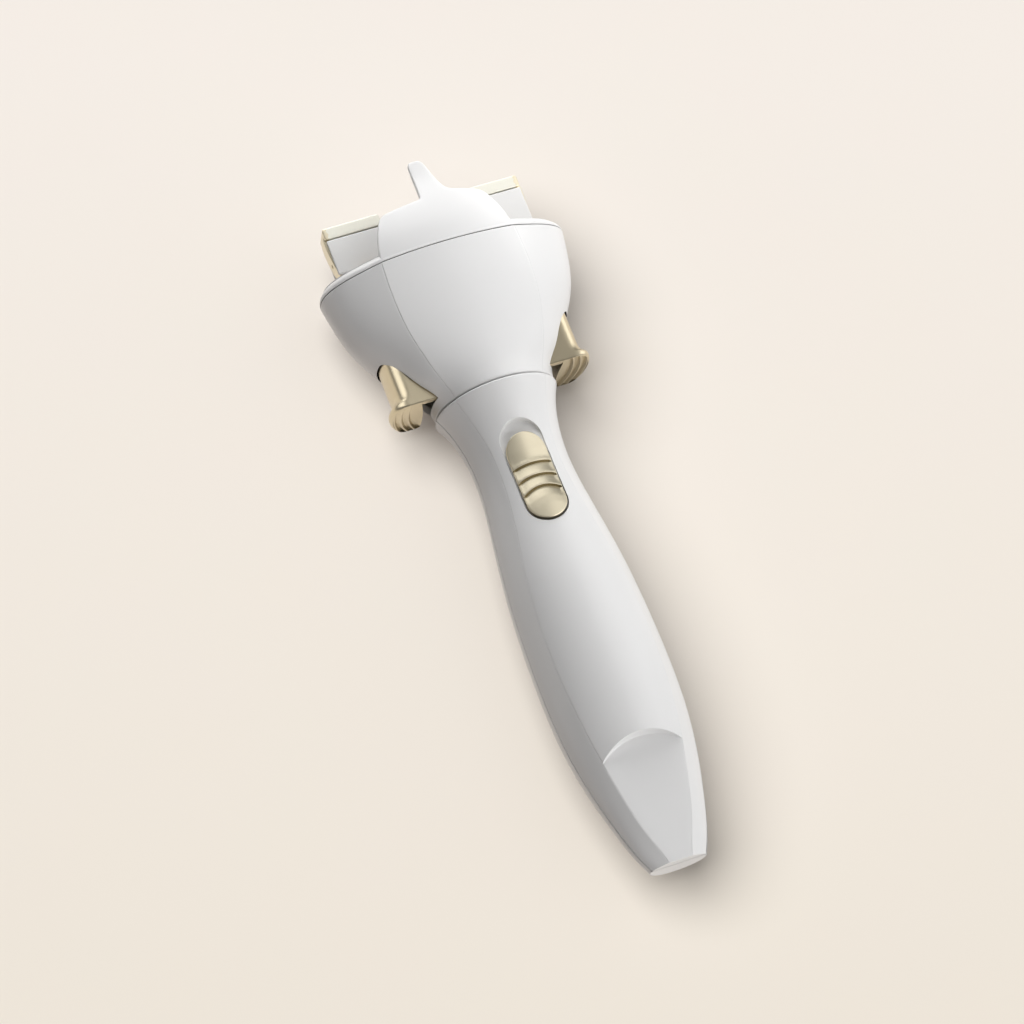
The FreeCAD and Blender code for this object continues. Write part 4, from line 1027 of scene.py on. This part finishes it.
cx_, cy_, cz_ = co_v[:, 0] * 1000, 19.5 - co_v[:, 2] * 1000, co_v[:, 1] * 1000 + 113.25
# the head seam's inner wall and the walls of the trigger openings get the black slider material: painted shade in these
# gaps
seam_wall_painted_shade = (cz_ > CONE_TOP - 3.2) & (np.abs(co_n[:, 1]) > 0.95)
opening_wall_painted_shade = (trig_plan_g(np.stack([cx_, cy_, cz_], -1), TG) < 0.06) & (np.abs(cx_) > 23.0) & (cz_ > 154.2) & (cz_ < 177)
for poly, painted_shade in zip(cone.data.polygons, seam_wall_painted_shade | opening_wall_painted_shade):
    poly.material_index = int(painted_shade)
stand(cone, "head", "head_cone")

# ---------------------------------------------------------------------------
# Head: cap with shields and prong
# ---------------------------------------------------------------------------
ks = Skin(CAP, 196.35, 202.0, dz=0.1, sigma=0.45)
us = u_lines([(-0.5, 0.0, 34, "end"), (0.0, 0.25, 30, "end"), (0.25, 0.75, 46, "both"), (0.75, 1.0, 30, "start"),
              (1.0, 1.5, 34, "start")])
zs = np.concatenate([np.linspace(196.62, 199.9, 12), np.linspace(200.1, 201.6, 12), np.linspace(201.65, 202.0, 6)])
uu, zz = np.meshgrid(us, zs)
pts = ks(uu, zz)
RIM_TOP = 199.7
pts[..., 2] = 196.35 + (pts[..., 2] - 196.35) * (RIM_TOP - 196.35) / (202.0 - 196.35)
b = Build()
b.grid(pts)
curve = pts[0, :-1].copy()
rows = []
for k in range(6):
    a = math.pi / 2 * k / 5
    q = inset_curve(curve, 0.12 * (1 - math.cos(a)), closed=True)
    q[:, 2] = 196.44 + (curve[0, 2] - 196.44) * (1 - math.sin(a))
    rows.append(q)
q = inset_curve(rows[-1], 1.7, closed=True)
rows += [q, q + [0, 0, 3.0]]
b.grid(np.array(rows), close=True)
deck = pts[-1, :-1, :2]
bores = []
for sx in (-1, 1):
    t = np.linspace(0, 2 * math.pi, 49)[:-1]
    bores.append(np.column_stack([sx * 21.0 + 6.35 * np.cos(t), 6.35 * np.sin(t)]))
    rows = [np.column_stack([sx * 21.0 + r * np.cos(t), r * np.sin(t), np.full(48, z)])
            for r, z in ((6.35, 202.0), (6.2, 201.96), (6.08, 201.85), (6.02, 201.7), (6.02, 198.0))]
    b.grid(np.array(rows), close=True)
v, f = fill(ccw(deck), 1.3, holes=bores)
gap = np.min(np.hypot(v[:, None, 0] - deck[None, :, 0], v[:, None, 1] - deck[None, :, 1]), 1)
lift = np.clip(gap / 6.4, 0, 1)
b.add(np.column_stack([v, RIM_TOP + (202.0 - RIM_TOP) * lift * (2 - lift)]), f.tolist())


def shield_outline(top, prong):
    side = np.array([(-21.0, 196.4), (-20.3, 200.6), (-18.9, 205.2), (-17.4, 208.7), (-16.4, 210.3), (-14.8, 211.4)])
    side[:, 1] = 196.4 + (side[:, 1] - 196.4) * (top - 196.4) / 17.55
    if prong:
        crown = np.array([(-10.0, top - 1.95), (-5.0, top - 1.45), (-2.75, top - 1.25), (-2.6, top - 0.5), (-2.4, 216.2),
                          (-2.2, 221.0), (-2.05, 224.2), (-1.95, 225.6), (-1.2, 226.38), (0.2, 226.5), (1.7, 226.38), (2.65, 225.5),
                          (3.1, 224.0), (3.8, 221.0), (4.45, 218.4), (5.1, 216.4), (5.9, 214.8), (7.1, 213.8), (8.8, 213.25),
                          (10.8, 212.8)])
    else:
        crown = np.array([(-10.0, top - 0.9), (-5.0, top - 0.24), (0.0, top), (5.0, top - 0.24), (10.0, top - 0.9)])
    return np.vstack([side, crown, side[::-1] * [-1, 1]])


def shield_y(rows, sign):
    t = np.array(rows, float)
    c = 21.0

    def f(x, z, inner=0.0):
        yc = np.interp(z, t[:, 0], t[:, 2])
        d0 = np.interp(z, t[:, 0], t[:, 3])
        sag = d0 - yc
        rad = (c * c + sag * sag) / (2 * sag)
        y = d0 - (rad - np.sqrt(np.maximum(rad * rad - x * x, 0)))
        return sign * (y - inner)
    return f


FRONT_ROWS = [(196.35, 21.0, 17.9, 20.5), (202.0, 21.0, 17.45, 20.0), (208.0, 21.0, 16.4, 18.9), (215.5, 21.0, 14.7, 17.2),
              (221.0, 21.0, 13.3, 15.95), (226.6, 21.0, 12.3, 15.0)]
BACK_ROWS = [(196.35, 21.0, 17.0, 19.5), (202.0, 21.0, 16.5, 19.0), (208.0, 21.0, 15.5, 18.0), (215.5, 21.0, 14.0, 16.4)]


def smooth_rows(rows):
    f = spline(rows)
    zs = np.linspace(rows[0][0], rows[-1][0], 90)
    return [(z, *v) for z, v in zip(zs, f(zs))]


for rows, sign, top in ((FRONT_ROWS, -1, 213.95), (BACK_ROWS, 1, 212.6)):
    yf = shield_y(smooth_rows(rows), sign)
    loop = round_loop(shield_outline(top, sign < 0), 0.42, out=0.4)
    plate(b, loop, lambda x, z, yf=yf: yf(x, z, 0.02), lambda x, z, yf=yf: yf(x, z, 2.2 - 0.6 * np.clip((z - 213) / 13, 0, 1)),
          0.42, as_xz, step=1.0, n=5)
cap = b.make("head_cap_skin", [WHITE, MATS["slider_black"]])
# the cap's wall at the head seam gets the black slider material: painted shade in the seam
for poly in cap.data.polygons:
    z = poly.center[1] * 1000 + 113.25
    poly.material_index = int(196.3 < z < 196.42 and abs(poly.normal[1]) > 0.97)
stand(cap, "head", "head_cap")


# ---------------------------------------------------------------------------
# Chuck blocks, jaws and triggers, drawn for the right-hand side
# ---------------------------------------------------------------------------
FOOT_IN, FOOT_BACK, WEB_T, X_IN = 21.6, 22.9, 1.8, 16.6
TUBE_R = 4.0


def plan_curve(off, rho, inset=0.0, counts=(18, 14, 40, 9, 10, 8)):
    """Outline of the trigger in plan, from the front web's inner end round to the back one's."""
    r, yf, yb = TB + off, TF - inset, TK - inset
    cx = TO - TB
    out = []
    rf = rho - TR + RHO_FRONT
    fy, by = -(yf - rf), yb - rho
    fx, bx = cx + math.sqrt((r - rf) ** 2 - fy ** 2), cx + math.sqrt((r - rho) ** 2 - by ** 2)
    fa, ba = math.atan2(fy, fx - cx), math.atan2(by, bx - cx)
    for x in np.linspace(X_IN, fx, counts[0])[:-1]:
        out.append((x, -yf))
    for a in np.linspace(-math.pi / 2, fa, counts[1])[:-1]:
        out.append((fx + rf * math.cos(a), fy + rf * math.sin(a)))
    for a in np.linspace(fa, ba, counts[2])[:-1]:
        out.append((cx + r * math.cos(a), r * math.sin(a)))
    for a in np.linspace(ba, math.pi / 2, counts[3])[:-1]:
        out.append((bx + rho * math.cos(a), by + rho * math.sin(a)))
    for x in np.linspace(bx, FOOT_BACK, counts[4])[:-1]:
        out.append((x, yb))
    for x in np.linspace(FOOT_BACK, X_IN, counts[5]):
        out.append((x, yb))
    return np.array(out)


def inner_path(yb, yf):
    """From the foot's back corner along its bowed inner side to the web and out to the web's inner end."""
    pts = [(FOOT_BACK - 1.25 * math.sin(t), yb - 1.25 + 1.25 * math.cos(t)) for t in np.linspace(0, math.pi / 2, 6)[1:]]
    for y in np.linspace(yb - 1.25, -(yf - WEB_T), 14)[1:]:
        pts.append((FOOT_IN - 0.25 + 1.1 * ((y - 5.0) / 12.0) ** 2, y))
    pts.append((X_IN, -(yf - WEB_T)))
    return np.array(pts)


RIDGES = (26.1, 28.4, 30.5)
RIDGE_DQ = (-0.75, -0.16, 0.10, 1.2)


def pad_line(y):
    return np.sqrt(np.maximum(27.0 ** 2 - (y + 1.0) ** 2, 1.0)) - 27.0


def pad_z(x, y):
    """Underside of the foot: bowed ridges for the finger, and a smooth dished face inboard of them."""
    q = x - pad_line(y)
    d = np.full(np.shape(x), 0.8)
    for k in RIDGES:
        d = np.minimum(d, np.interp(q - k, RIDGE_DQ, [0.8, 0.0, 0.0, 0.8]))
    dish = np.clip((26.1 - 0.75 - q) / 4.4, 0, 1)
    d = np.where(q < 26.1 - 0.75, 0.8 * (1 - dish) ** 1.4, d)
    fade = np.clip((11.2 - y) / 0.5, 0, 1) * np.clip((y + 7.75) / 0.35, 0, 1) * np.clip((x - FOOT_IN + 0.1) / 0.6, 0, 1)
    return 154.0 + d * fade


for side, sx, mirror in (("right", 1, False), ("left", -1, True)):
    cx = 21.0
    # block with two cheeks for the jaw's hinge
    poly = [(11.0, -4.2), (31.0, -4.2), (31.0, -3.1), (25.9, -3.1), (25.9, 3.1), (31.0, 3.1), (31.0, 4.2), (11.0, 4.2)]
    b = Build()
    t = np.linspace(0, 2 * math.pi, 41)[:-1]
    ring = lambda r, z: np.column_stack([cx + r * np.cos(t), r * np.sin(t), np.full(40, z)])
    plate(b, round_loop(poly, 0.13, step=0.06, out=0.25), 214.0, 202.5, 0.40, as_xy, step=1.1, mirror=mirror,
          holes=[ring(2.05, 0)[:, :2]], holes2=[ring(TUBE_R, 0)[:, :2]])
    b.grid(np.array([ring(r, z) for r, z in ((2.05, 214.0), (1.95, 213.96), (1.9, 213.85), (1.9, 205.4), (TUBE_R, 205.4),
                                             (TUBE_R, 202.5))]), close=True, mirror=mirror)
    block = b.make("chuck_block_skin_" + side, [BLOCKW])
    stand(block, "chuck_" + side, "chuck_block_" + side)

    # jaw: strip over the block and a bowed shell on its outer side
    b = Build()
    strip = round_loop(rounded_rect(13.2, 31.2, 214.4, 218.1, 0.75), 0.1, out=0.3)
    plate(b, strip, -4.2, 4.2, 0.28, as_xz, step=0.9, n=4, mirror=mirror)
    dome = [(0.85, 0.0), (0.85, 0.18), (0.74, 0.33), (0.5, 0.43), (0.2, 0.47), (0.0, 0.475)]
    t = np.linspace(0, 2 * math.pi, 25)[:-1]
    b.grid(np.array([np.column_stack([np.full(24, 31.12 + h), r * np.cos(t), 207.3 + r * np.sin(t)]) for r, h in dome]),
           close=True, mirror=mirror)
    shell = np.array([(29.45, 215.8), (29.3, 211.9), (29.3, 203.2), (29.8, 202.7), (30.5, 203.0), (31.1, 205.8), (31.5, 209.4),
                      (31.65, 212.2), (31.62, 215.0), (31.1, 216.4), (30.2, 217.2)])
    plate(b, round_loop(shell, 0.14, out=0.25), -2.8, 2.8, 0.3, as_xz, step=0.8, n=4, mirror=mirror)
    t = np.linspace(0, 2 * math.pi, 40)[:-1]
    boss = np.column_stack([29.4 + 1.75 * np.cos(t), 209.4 + 1.75 * np.sin(t)])
    plate(b, boss, -2.8, 2.8, 0.2, as_xz, step=0.6, n=3, mirror=mirror)
    jaw = b.make("jaw_skin_" + side, [GOLD, PEARL_PAINTED_HIGHLIGHT])
    # the top strip of each jaw gets the paler champagne copy: painted highlight
    for poly in jaw.data.polygons:
        poly.material_index = 1 if poly.center[1] > (214.3 - 113.25) / 1000 and abs(poly.center[0]) < 0.0300 else 0
    stand(jaw, "jaw_" + side, "jaw_" + side)

    # trigger: bowed stem with a flat web in front of it, on a ribbed foot that flares outwards
    b = Build()
    step_z = 161.2
    prof = [(173.0, 0.0, 0.5), (172.6, 0.0, 0.1), (172.2, 0.0, 0.0)]
    prof += [(z, 0.0, 0.0) for z in np.linspace(171.0, step_z, 13)]
    upper = np.array([np.column_stack([c, np.full(len(c), z)]) for z, off, ins in prof for c in [plan_curve(off, TR, ins)]])
    b.grid(upper, mirror=mirror)
    b.grid(np.stack([upper[:, 0], upper[:, -1]], 1), mirror=mirror)
    v, f = fill(ccw(upper[0][:, :2]), 1.5)
    b.add(np.column_stack([v, np.full(len(v), 173.0)]), f.tolist(), mirror)
    tail = 7
    path = inner_path(TK, TF)
    v, f = fill(ccw(np.vstack([upper[-1][-(tail + 1):, :2], path[::-1]])), 1.5)
    b.add(np.column_stack([v, np.full(len(v), step_z)]), f.tolist(), mirror)
    prof = [(step_z, 0.0, 0.0), (160.4, 0.0, 0.0), (159.6, 0.0, 0.0), (159.0, 0.02, 0.0), (158.4, 0.08, 0.0), (157.8, 0.2, 0.0),
            (157.3, 0.38, 0.0), (156.9, 0.62, 0.0), (156.55, 0.95, 0.0), (156.3, 1.35, 0.0), (156.1, 1.75, 0.0), (155.85, 1.98, 0.0),
            (155.5, 2.07, 0.0), (155.1, 2.08, 0.0), (154.7, 2.0, 0.0), (154.4, 1.85, 0.0), (154.15, 1.6, 0.05), (154.0, 1.3, 0.18)]
    rows = []
    for z, off, ins in prof:
        c = plan_curve(off, TR + 0.45 * off, ins)
        p = inner_path(TK - ins, TF - ins)
        loop = np.vstack([c[:len(c) - tail], p])
        rows.append(np.column_stack([loop, np.full(len(loop), z)]))
    rows = np.array(rows)
    b.grid(rows, close=True, mirror=mirror)
    under = ccw(rows[-1][:, :2])
    lines = []
    for k in RIDGES:
        for dq in RIDGE_DQ:
            ys = np.linspace(-7.85, 11.3, 70)
            lines.append(np.column_stack([k + dq + pad_line(ys), ys]))
    v, f = fill(under, 0.5, lines=lines)
    b.add(np.column_stack([v, pad_z(v[:, 0], v[:, 1])]), f.tolist(), mirror)
    # the triggers take the darker champagne copy: painted shade
    trig = b.make("trigger_skin_" + side, [DEEP_PAINTED_SHADE], sharp=50)
    stand(trig, "trigger_" + side, "trigger_" + side)

# ---------------------------------------------------------------------------
# Floor, light and camera
# ---------------------------------------------------------------------------
scene = bpy.context.scene
# the floor's colour ramps from darker and warmer at the handle end to lighter at the head end: painted light falloff
# across the floor
fm = bpy.data.materials.new("floor_matte_painted_falloff")
fm.use_nodes = True
fn = fm.node_tree
fb = fn.nodes["Principled BSDF"]
fb.inputs["Roughness"].default_value = 0.9
fb.inputs["Specular IOR Level"].default_value = 0.1
ftc = fn.nodes.new("ShaderNodeTexCoord")
dot = fn.nodes.new("ShaderNodeVectorMath")
dot.operation = "DOT_PRODUCT"
dot.inputs[1].default_value = (0.94, 2.92, 0.0)
fn.links.new(ftc.outputs["Object"], dot.inputs[0])
span = fn.nodes.new("ShaderNodeMapRange")
span.inputs["From Min"].default_value = -0.5
span.inputs["From Max"].default_value = 0.5
fn.links.new(dot.outputs["Value"], span.inputs["Value"])
noise = fn.nodes.new("ShaderNodeTexNoise")
noise.inputs["Scale"].default_value = 30.0
noise.inputs["Detail"].default_value = 5.0
fn.links.new(ftc.outputs["Object"], noise.inputs["Vector"])
fr = fn.nodes.new("ShaderNodeValToRGB")
fr.color_ramp.elements[0].color = (0.782, 0.720, 0.634, 1)
fr.color_ramp.elements[1].color = (0.842, 0.785, 0.727, 1)
fn.links.new(span.outputs["Result"], fr.inputs["Fac"])
mix = fn.nodes.new("ShaderNodeMix")
mix.data_type = "RGBA"
mix.blend_type = "MULTIPLY"
mix.inputs["Factor"].default_value = 0.012
fn.links.new(fr.outputs["Color"], mix.inputs[6])
fn.links.new(noise.outputs["Color"], mix.inputs[7])
fn.links.new(mix.outputs[2], fb.inputs["Base Color"])
me = bpy.data.meshes.new("floor")
me.from_pydata([(-6, -6, -0.0005), (6, -6, -0.0005), (6, 6, -0.0005), (-6, 6, -0.0005)], [], [(0, 1, 2, 3)])
me.materials.append(fm)
floor = bpy.data.objects.new("floor", me)
scene.collection.objects.link(floor)


def sun(name, elevation, azimuth, energy, spread, colour, receivers):
    """Soft distant light, lighting one group only, as flags and cards do in a studio."""
    l = bpy.data.lights.new(name, "SUN")
    l.energy, l.color, l.angle = energy, colour, math.radians(spread)
    o = bpy.data.objects.new(name, l)
    e, a = math.radians(elevation), math.radians(azimuth)
    d = Vector((math.cos(e) * math.cos(a), math.cos(e) * math.sin(a), math.sin(e)))
    o.rotation_mode = "QUATERNION"
    o.rotation_quaternion = (-d).to_track_quat("-Z", "Y")
    scene.collection.objects.link(o)
    o.light_linking.receiver_collection = receivers
    return o


GROUPS = {k: bpy.data.collections.new("lit_" + k) for k in ("floor", "tool", "jaws", "knob", "left", "right")}
for ob in scene.objects:
    if ob.type == "MESH":
        key = ("floor" if ob is floor else "knob" if "knob" in ob.name else "jaws" if "jaw" in ob.name else "tool" if "trigger" not in ob.name else
               "left" if "left" in ob.name else "right" if "right" in ob.name else "tool")
        GROUPS[key].objects.link(ob)
floor.visible_diffuse = False
floor.visible_shadow = False
NEUTRAL, WARM = (1.0, 1.0, 1.0), (1.0, 0.78, 0.66)
RIG = {
    "tool": (("head_end", 18, 90, 2.50, 50), ("right_low", 18, 315, 1.08, 50), ("right_high", 50, 315, 0.50, 50),
             ("side", 18, 0, 0.30, 50), ("side_high", 50, 22, 0.48, 50), ("foot_end", 18, 270, 0.68, 50), ("left_fill", 35, 205, 0.05, 50),
             ("bounce", -22, 210, 0.17, 50), ("bounce_end", -25, 265, 0.26, 50)),
    "jaws": (("head_end", 18, 90, 2.50, 50), ("right_low", 18, 315, 1.45, 50), ("right_high", 50, 315, 0.62, 50),
             ("side", 18, 0, 0.30, 50), ("side_high", 50, 22, 0.48, 50), ("foot_end", 18, 270, 0.46, 50),
             ("card_over", 62, 62, 0.36, 60)),
    "knob": (("head_end", 18, 90, 0.80, 60), ("right_low", 18, 315, 1.25, 60), ("right_high", 50, 315, 0.52, 60),
             ("side", 18, 0, 0.26, 50), ("side_high", 50, 16, 0.52, 58), ("card_over", 62, 62, 0.13, 60),
             ("card_top", 60, 118, 0.11, 60), ("right_foot", 40, 290, 0.28, 60)),
    "left": (("head_end", 18, 90, 0.90, 50), ("right_low", 18, 315, 0.90, 50), ("side_high", 50, 22, 0.36, 50),
             ("card_over", 62, 62, 0.15, 60), ("card_left", 48, 148, 0.80, 46), ("bounce", -22, 200, 0.06, 50)),
    "right": (("head_end", 18, 90, 0.45, 50), ("right_low", 18, 315, 0.45, 50), ("side", 18, 14, 0.68, 40),
              ("side_high", 50, 22, 0.20, 50), ("card_over", 62, 62, 0.06, 60)),
    "floor": (("overhead", 64, 155, 3.05, 58), ("overhead_soft", 50, 335, 0.40, 70)),
}
for key, suns in RIG.items():
    for name, el, az, energy, spread in suns:
        sun(name + "_" + key, el, az, energy, spread, WARM if "bounce" in name else NEUTRAL, GROUPS[key])
for name, pos, aim, size, power in (
        ("head_side", (0.11, 0.15, 0.11), (0.0, 0.07, 0.02), 0.08, 0.034),
        ("head_top", (0.12, 0.24, 0.11), (0.0, 0.10, 0.03), 0.10, 0.078)):
    lamp = bpy.data.lights.new(name, "AREA")
    lamp.shape, lamp.size, lamp.energy = "SQUARE", size, power
    ob = bpy.data.objects.new(name, lamp)
    ob.location = pos
    ob.rotation_mode = "QUATERNION"
    ob.rotation_quaternion = (Vector(aim) - Vector(pos)).to_track_quat("-Z", "Y")
    scene.collection.objects.link(ob)
    ob.light_linking.receiver_collection = GROUPS["tool"]
w = bpy.data.worlds.new("studio")
scene.world = w
w.use_nodes = True
w.node_tree.nodes["Background"].inputs[0].default_value = (1.0, 1.0, 1.0, 1)
w.node_tree.nodes["Background"].inputs[1].default_value = 0.12
paper = w.node_tree.nodes.new("ShaderNodeBackground")
paper.inputs[0].default_value = (0.90, 0.83, 0.78, 1)
path = w.node_tree.nodes.new("ShaderNodeLightPath")
blend = w.node_tree.nodes.new("ShaderNodeMixShader")
w.node_tree.links.new(path.outputs["Is Camera Ray"], blend.inputs[0])
w.node_tree.links.new(w.node_tree.nodes["Background"].outputs[0], blend.inputs[1])
w.node_tree.links.new(paper.outputs[0], blend.inputs[2])
w.node_tree.links.new(blend.outputs[0], w.node_tree.nodes["World Output"].inputs["Surface"])
scene.view_settings.view_transform = "Standard"

az, el, roll = math.radians(-13.8), math.radians(-19.3), math.radians(-21.54)
back = Vector((math.sin(az) * math.cos(el), -math.cos(az) * math.cos(el), math.sin(el)))
right = Vector((math.cos(az), math.sin(az), 0.0))
up = back.cross(right)
r2 = right * math.cos(roll) + up * math.sin(roll)
u2 = -right * math.sin(roll) + up * math.cos(roll)
eye = Vector((-7.43, 0.0, 116.0)) + back * 1100.0


def turn(v):
    return Vector((v.x, v.z, -v.y))


cam = bpy.data.cameras.new("camera")
cam.sensor_width = 36.0
cam.lens = 36.0 * 3757.6 / 1024.0
cam.clip_start, cam.clip_end = 0.01, 20.0
co = bpy.data.objects.new("camera", cam)
scene.collection.objects.link(co)
m = Matrix((turn(r2), turn(u2), turn(back))).transposed().to_4x4()
m.translation = Vector((eye.x / 1000.0, (eye.z - 113.25) / 1000.0, (19.5 - eye.y) / 1000.0))
co.matrix_world = m
scene.camera = co
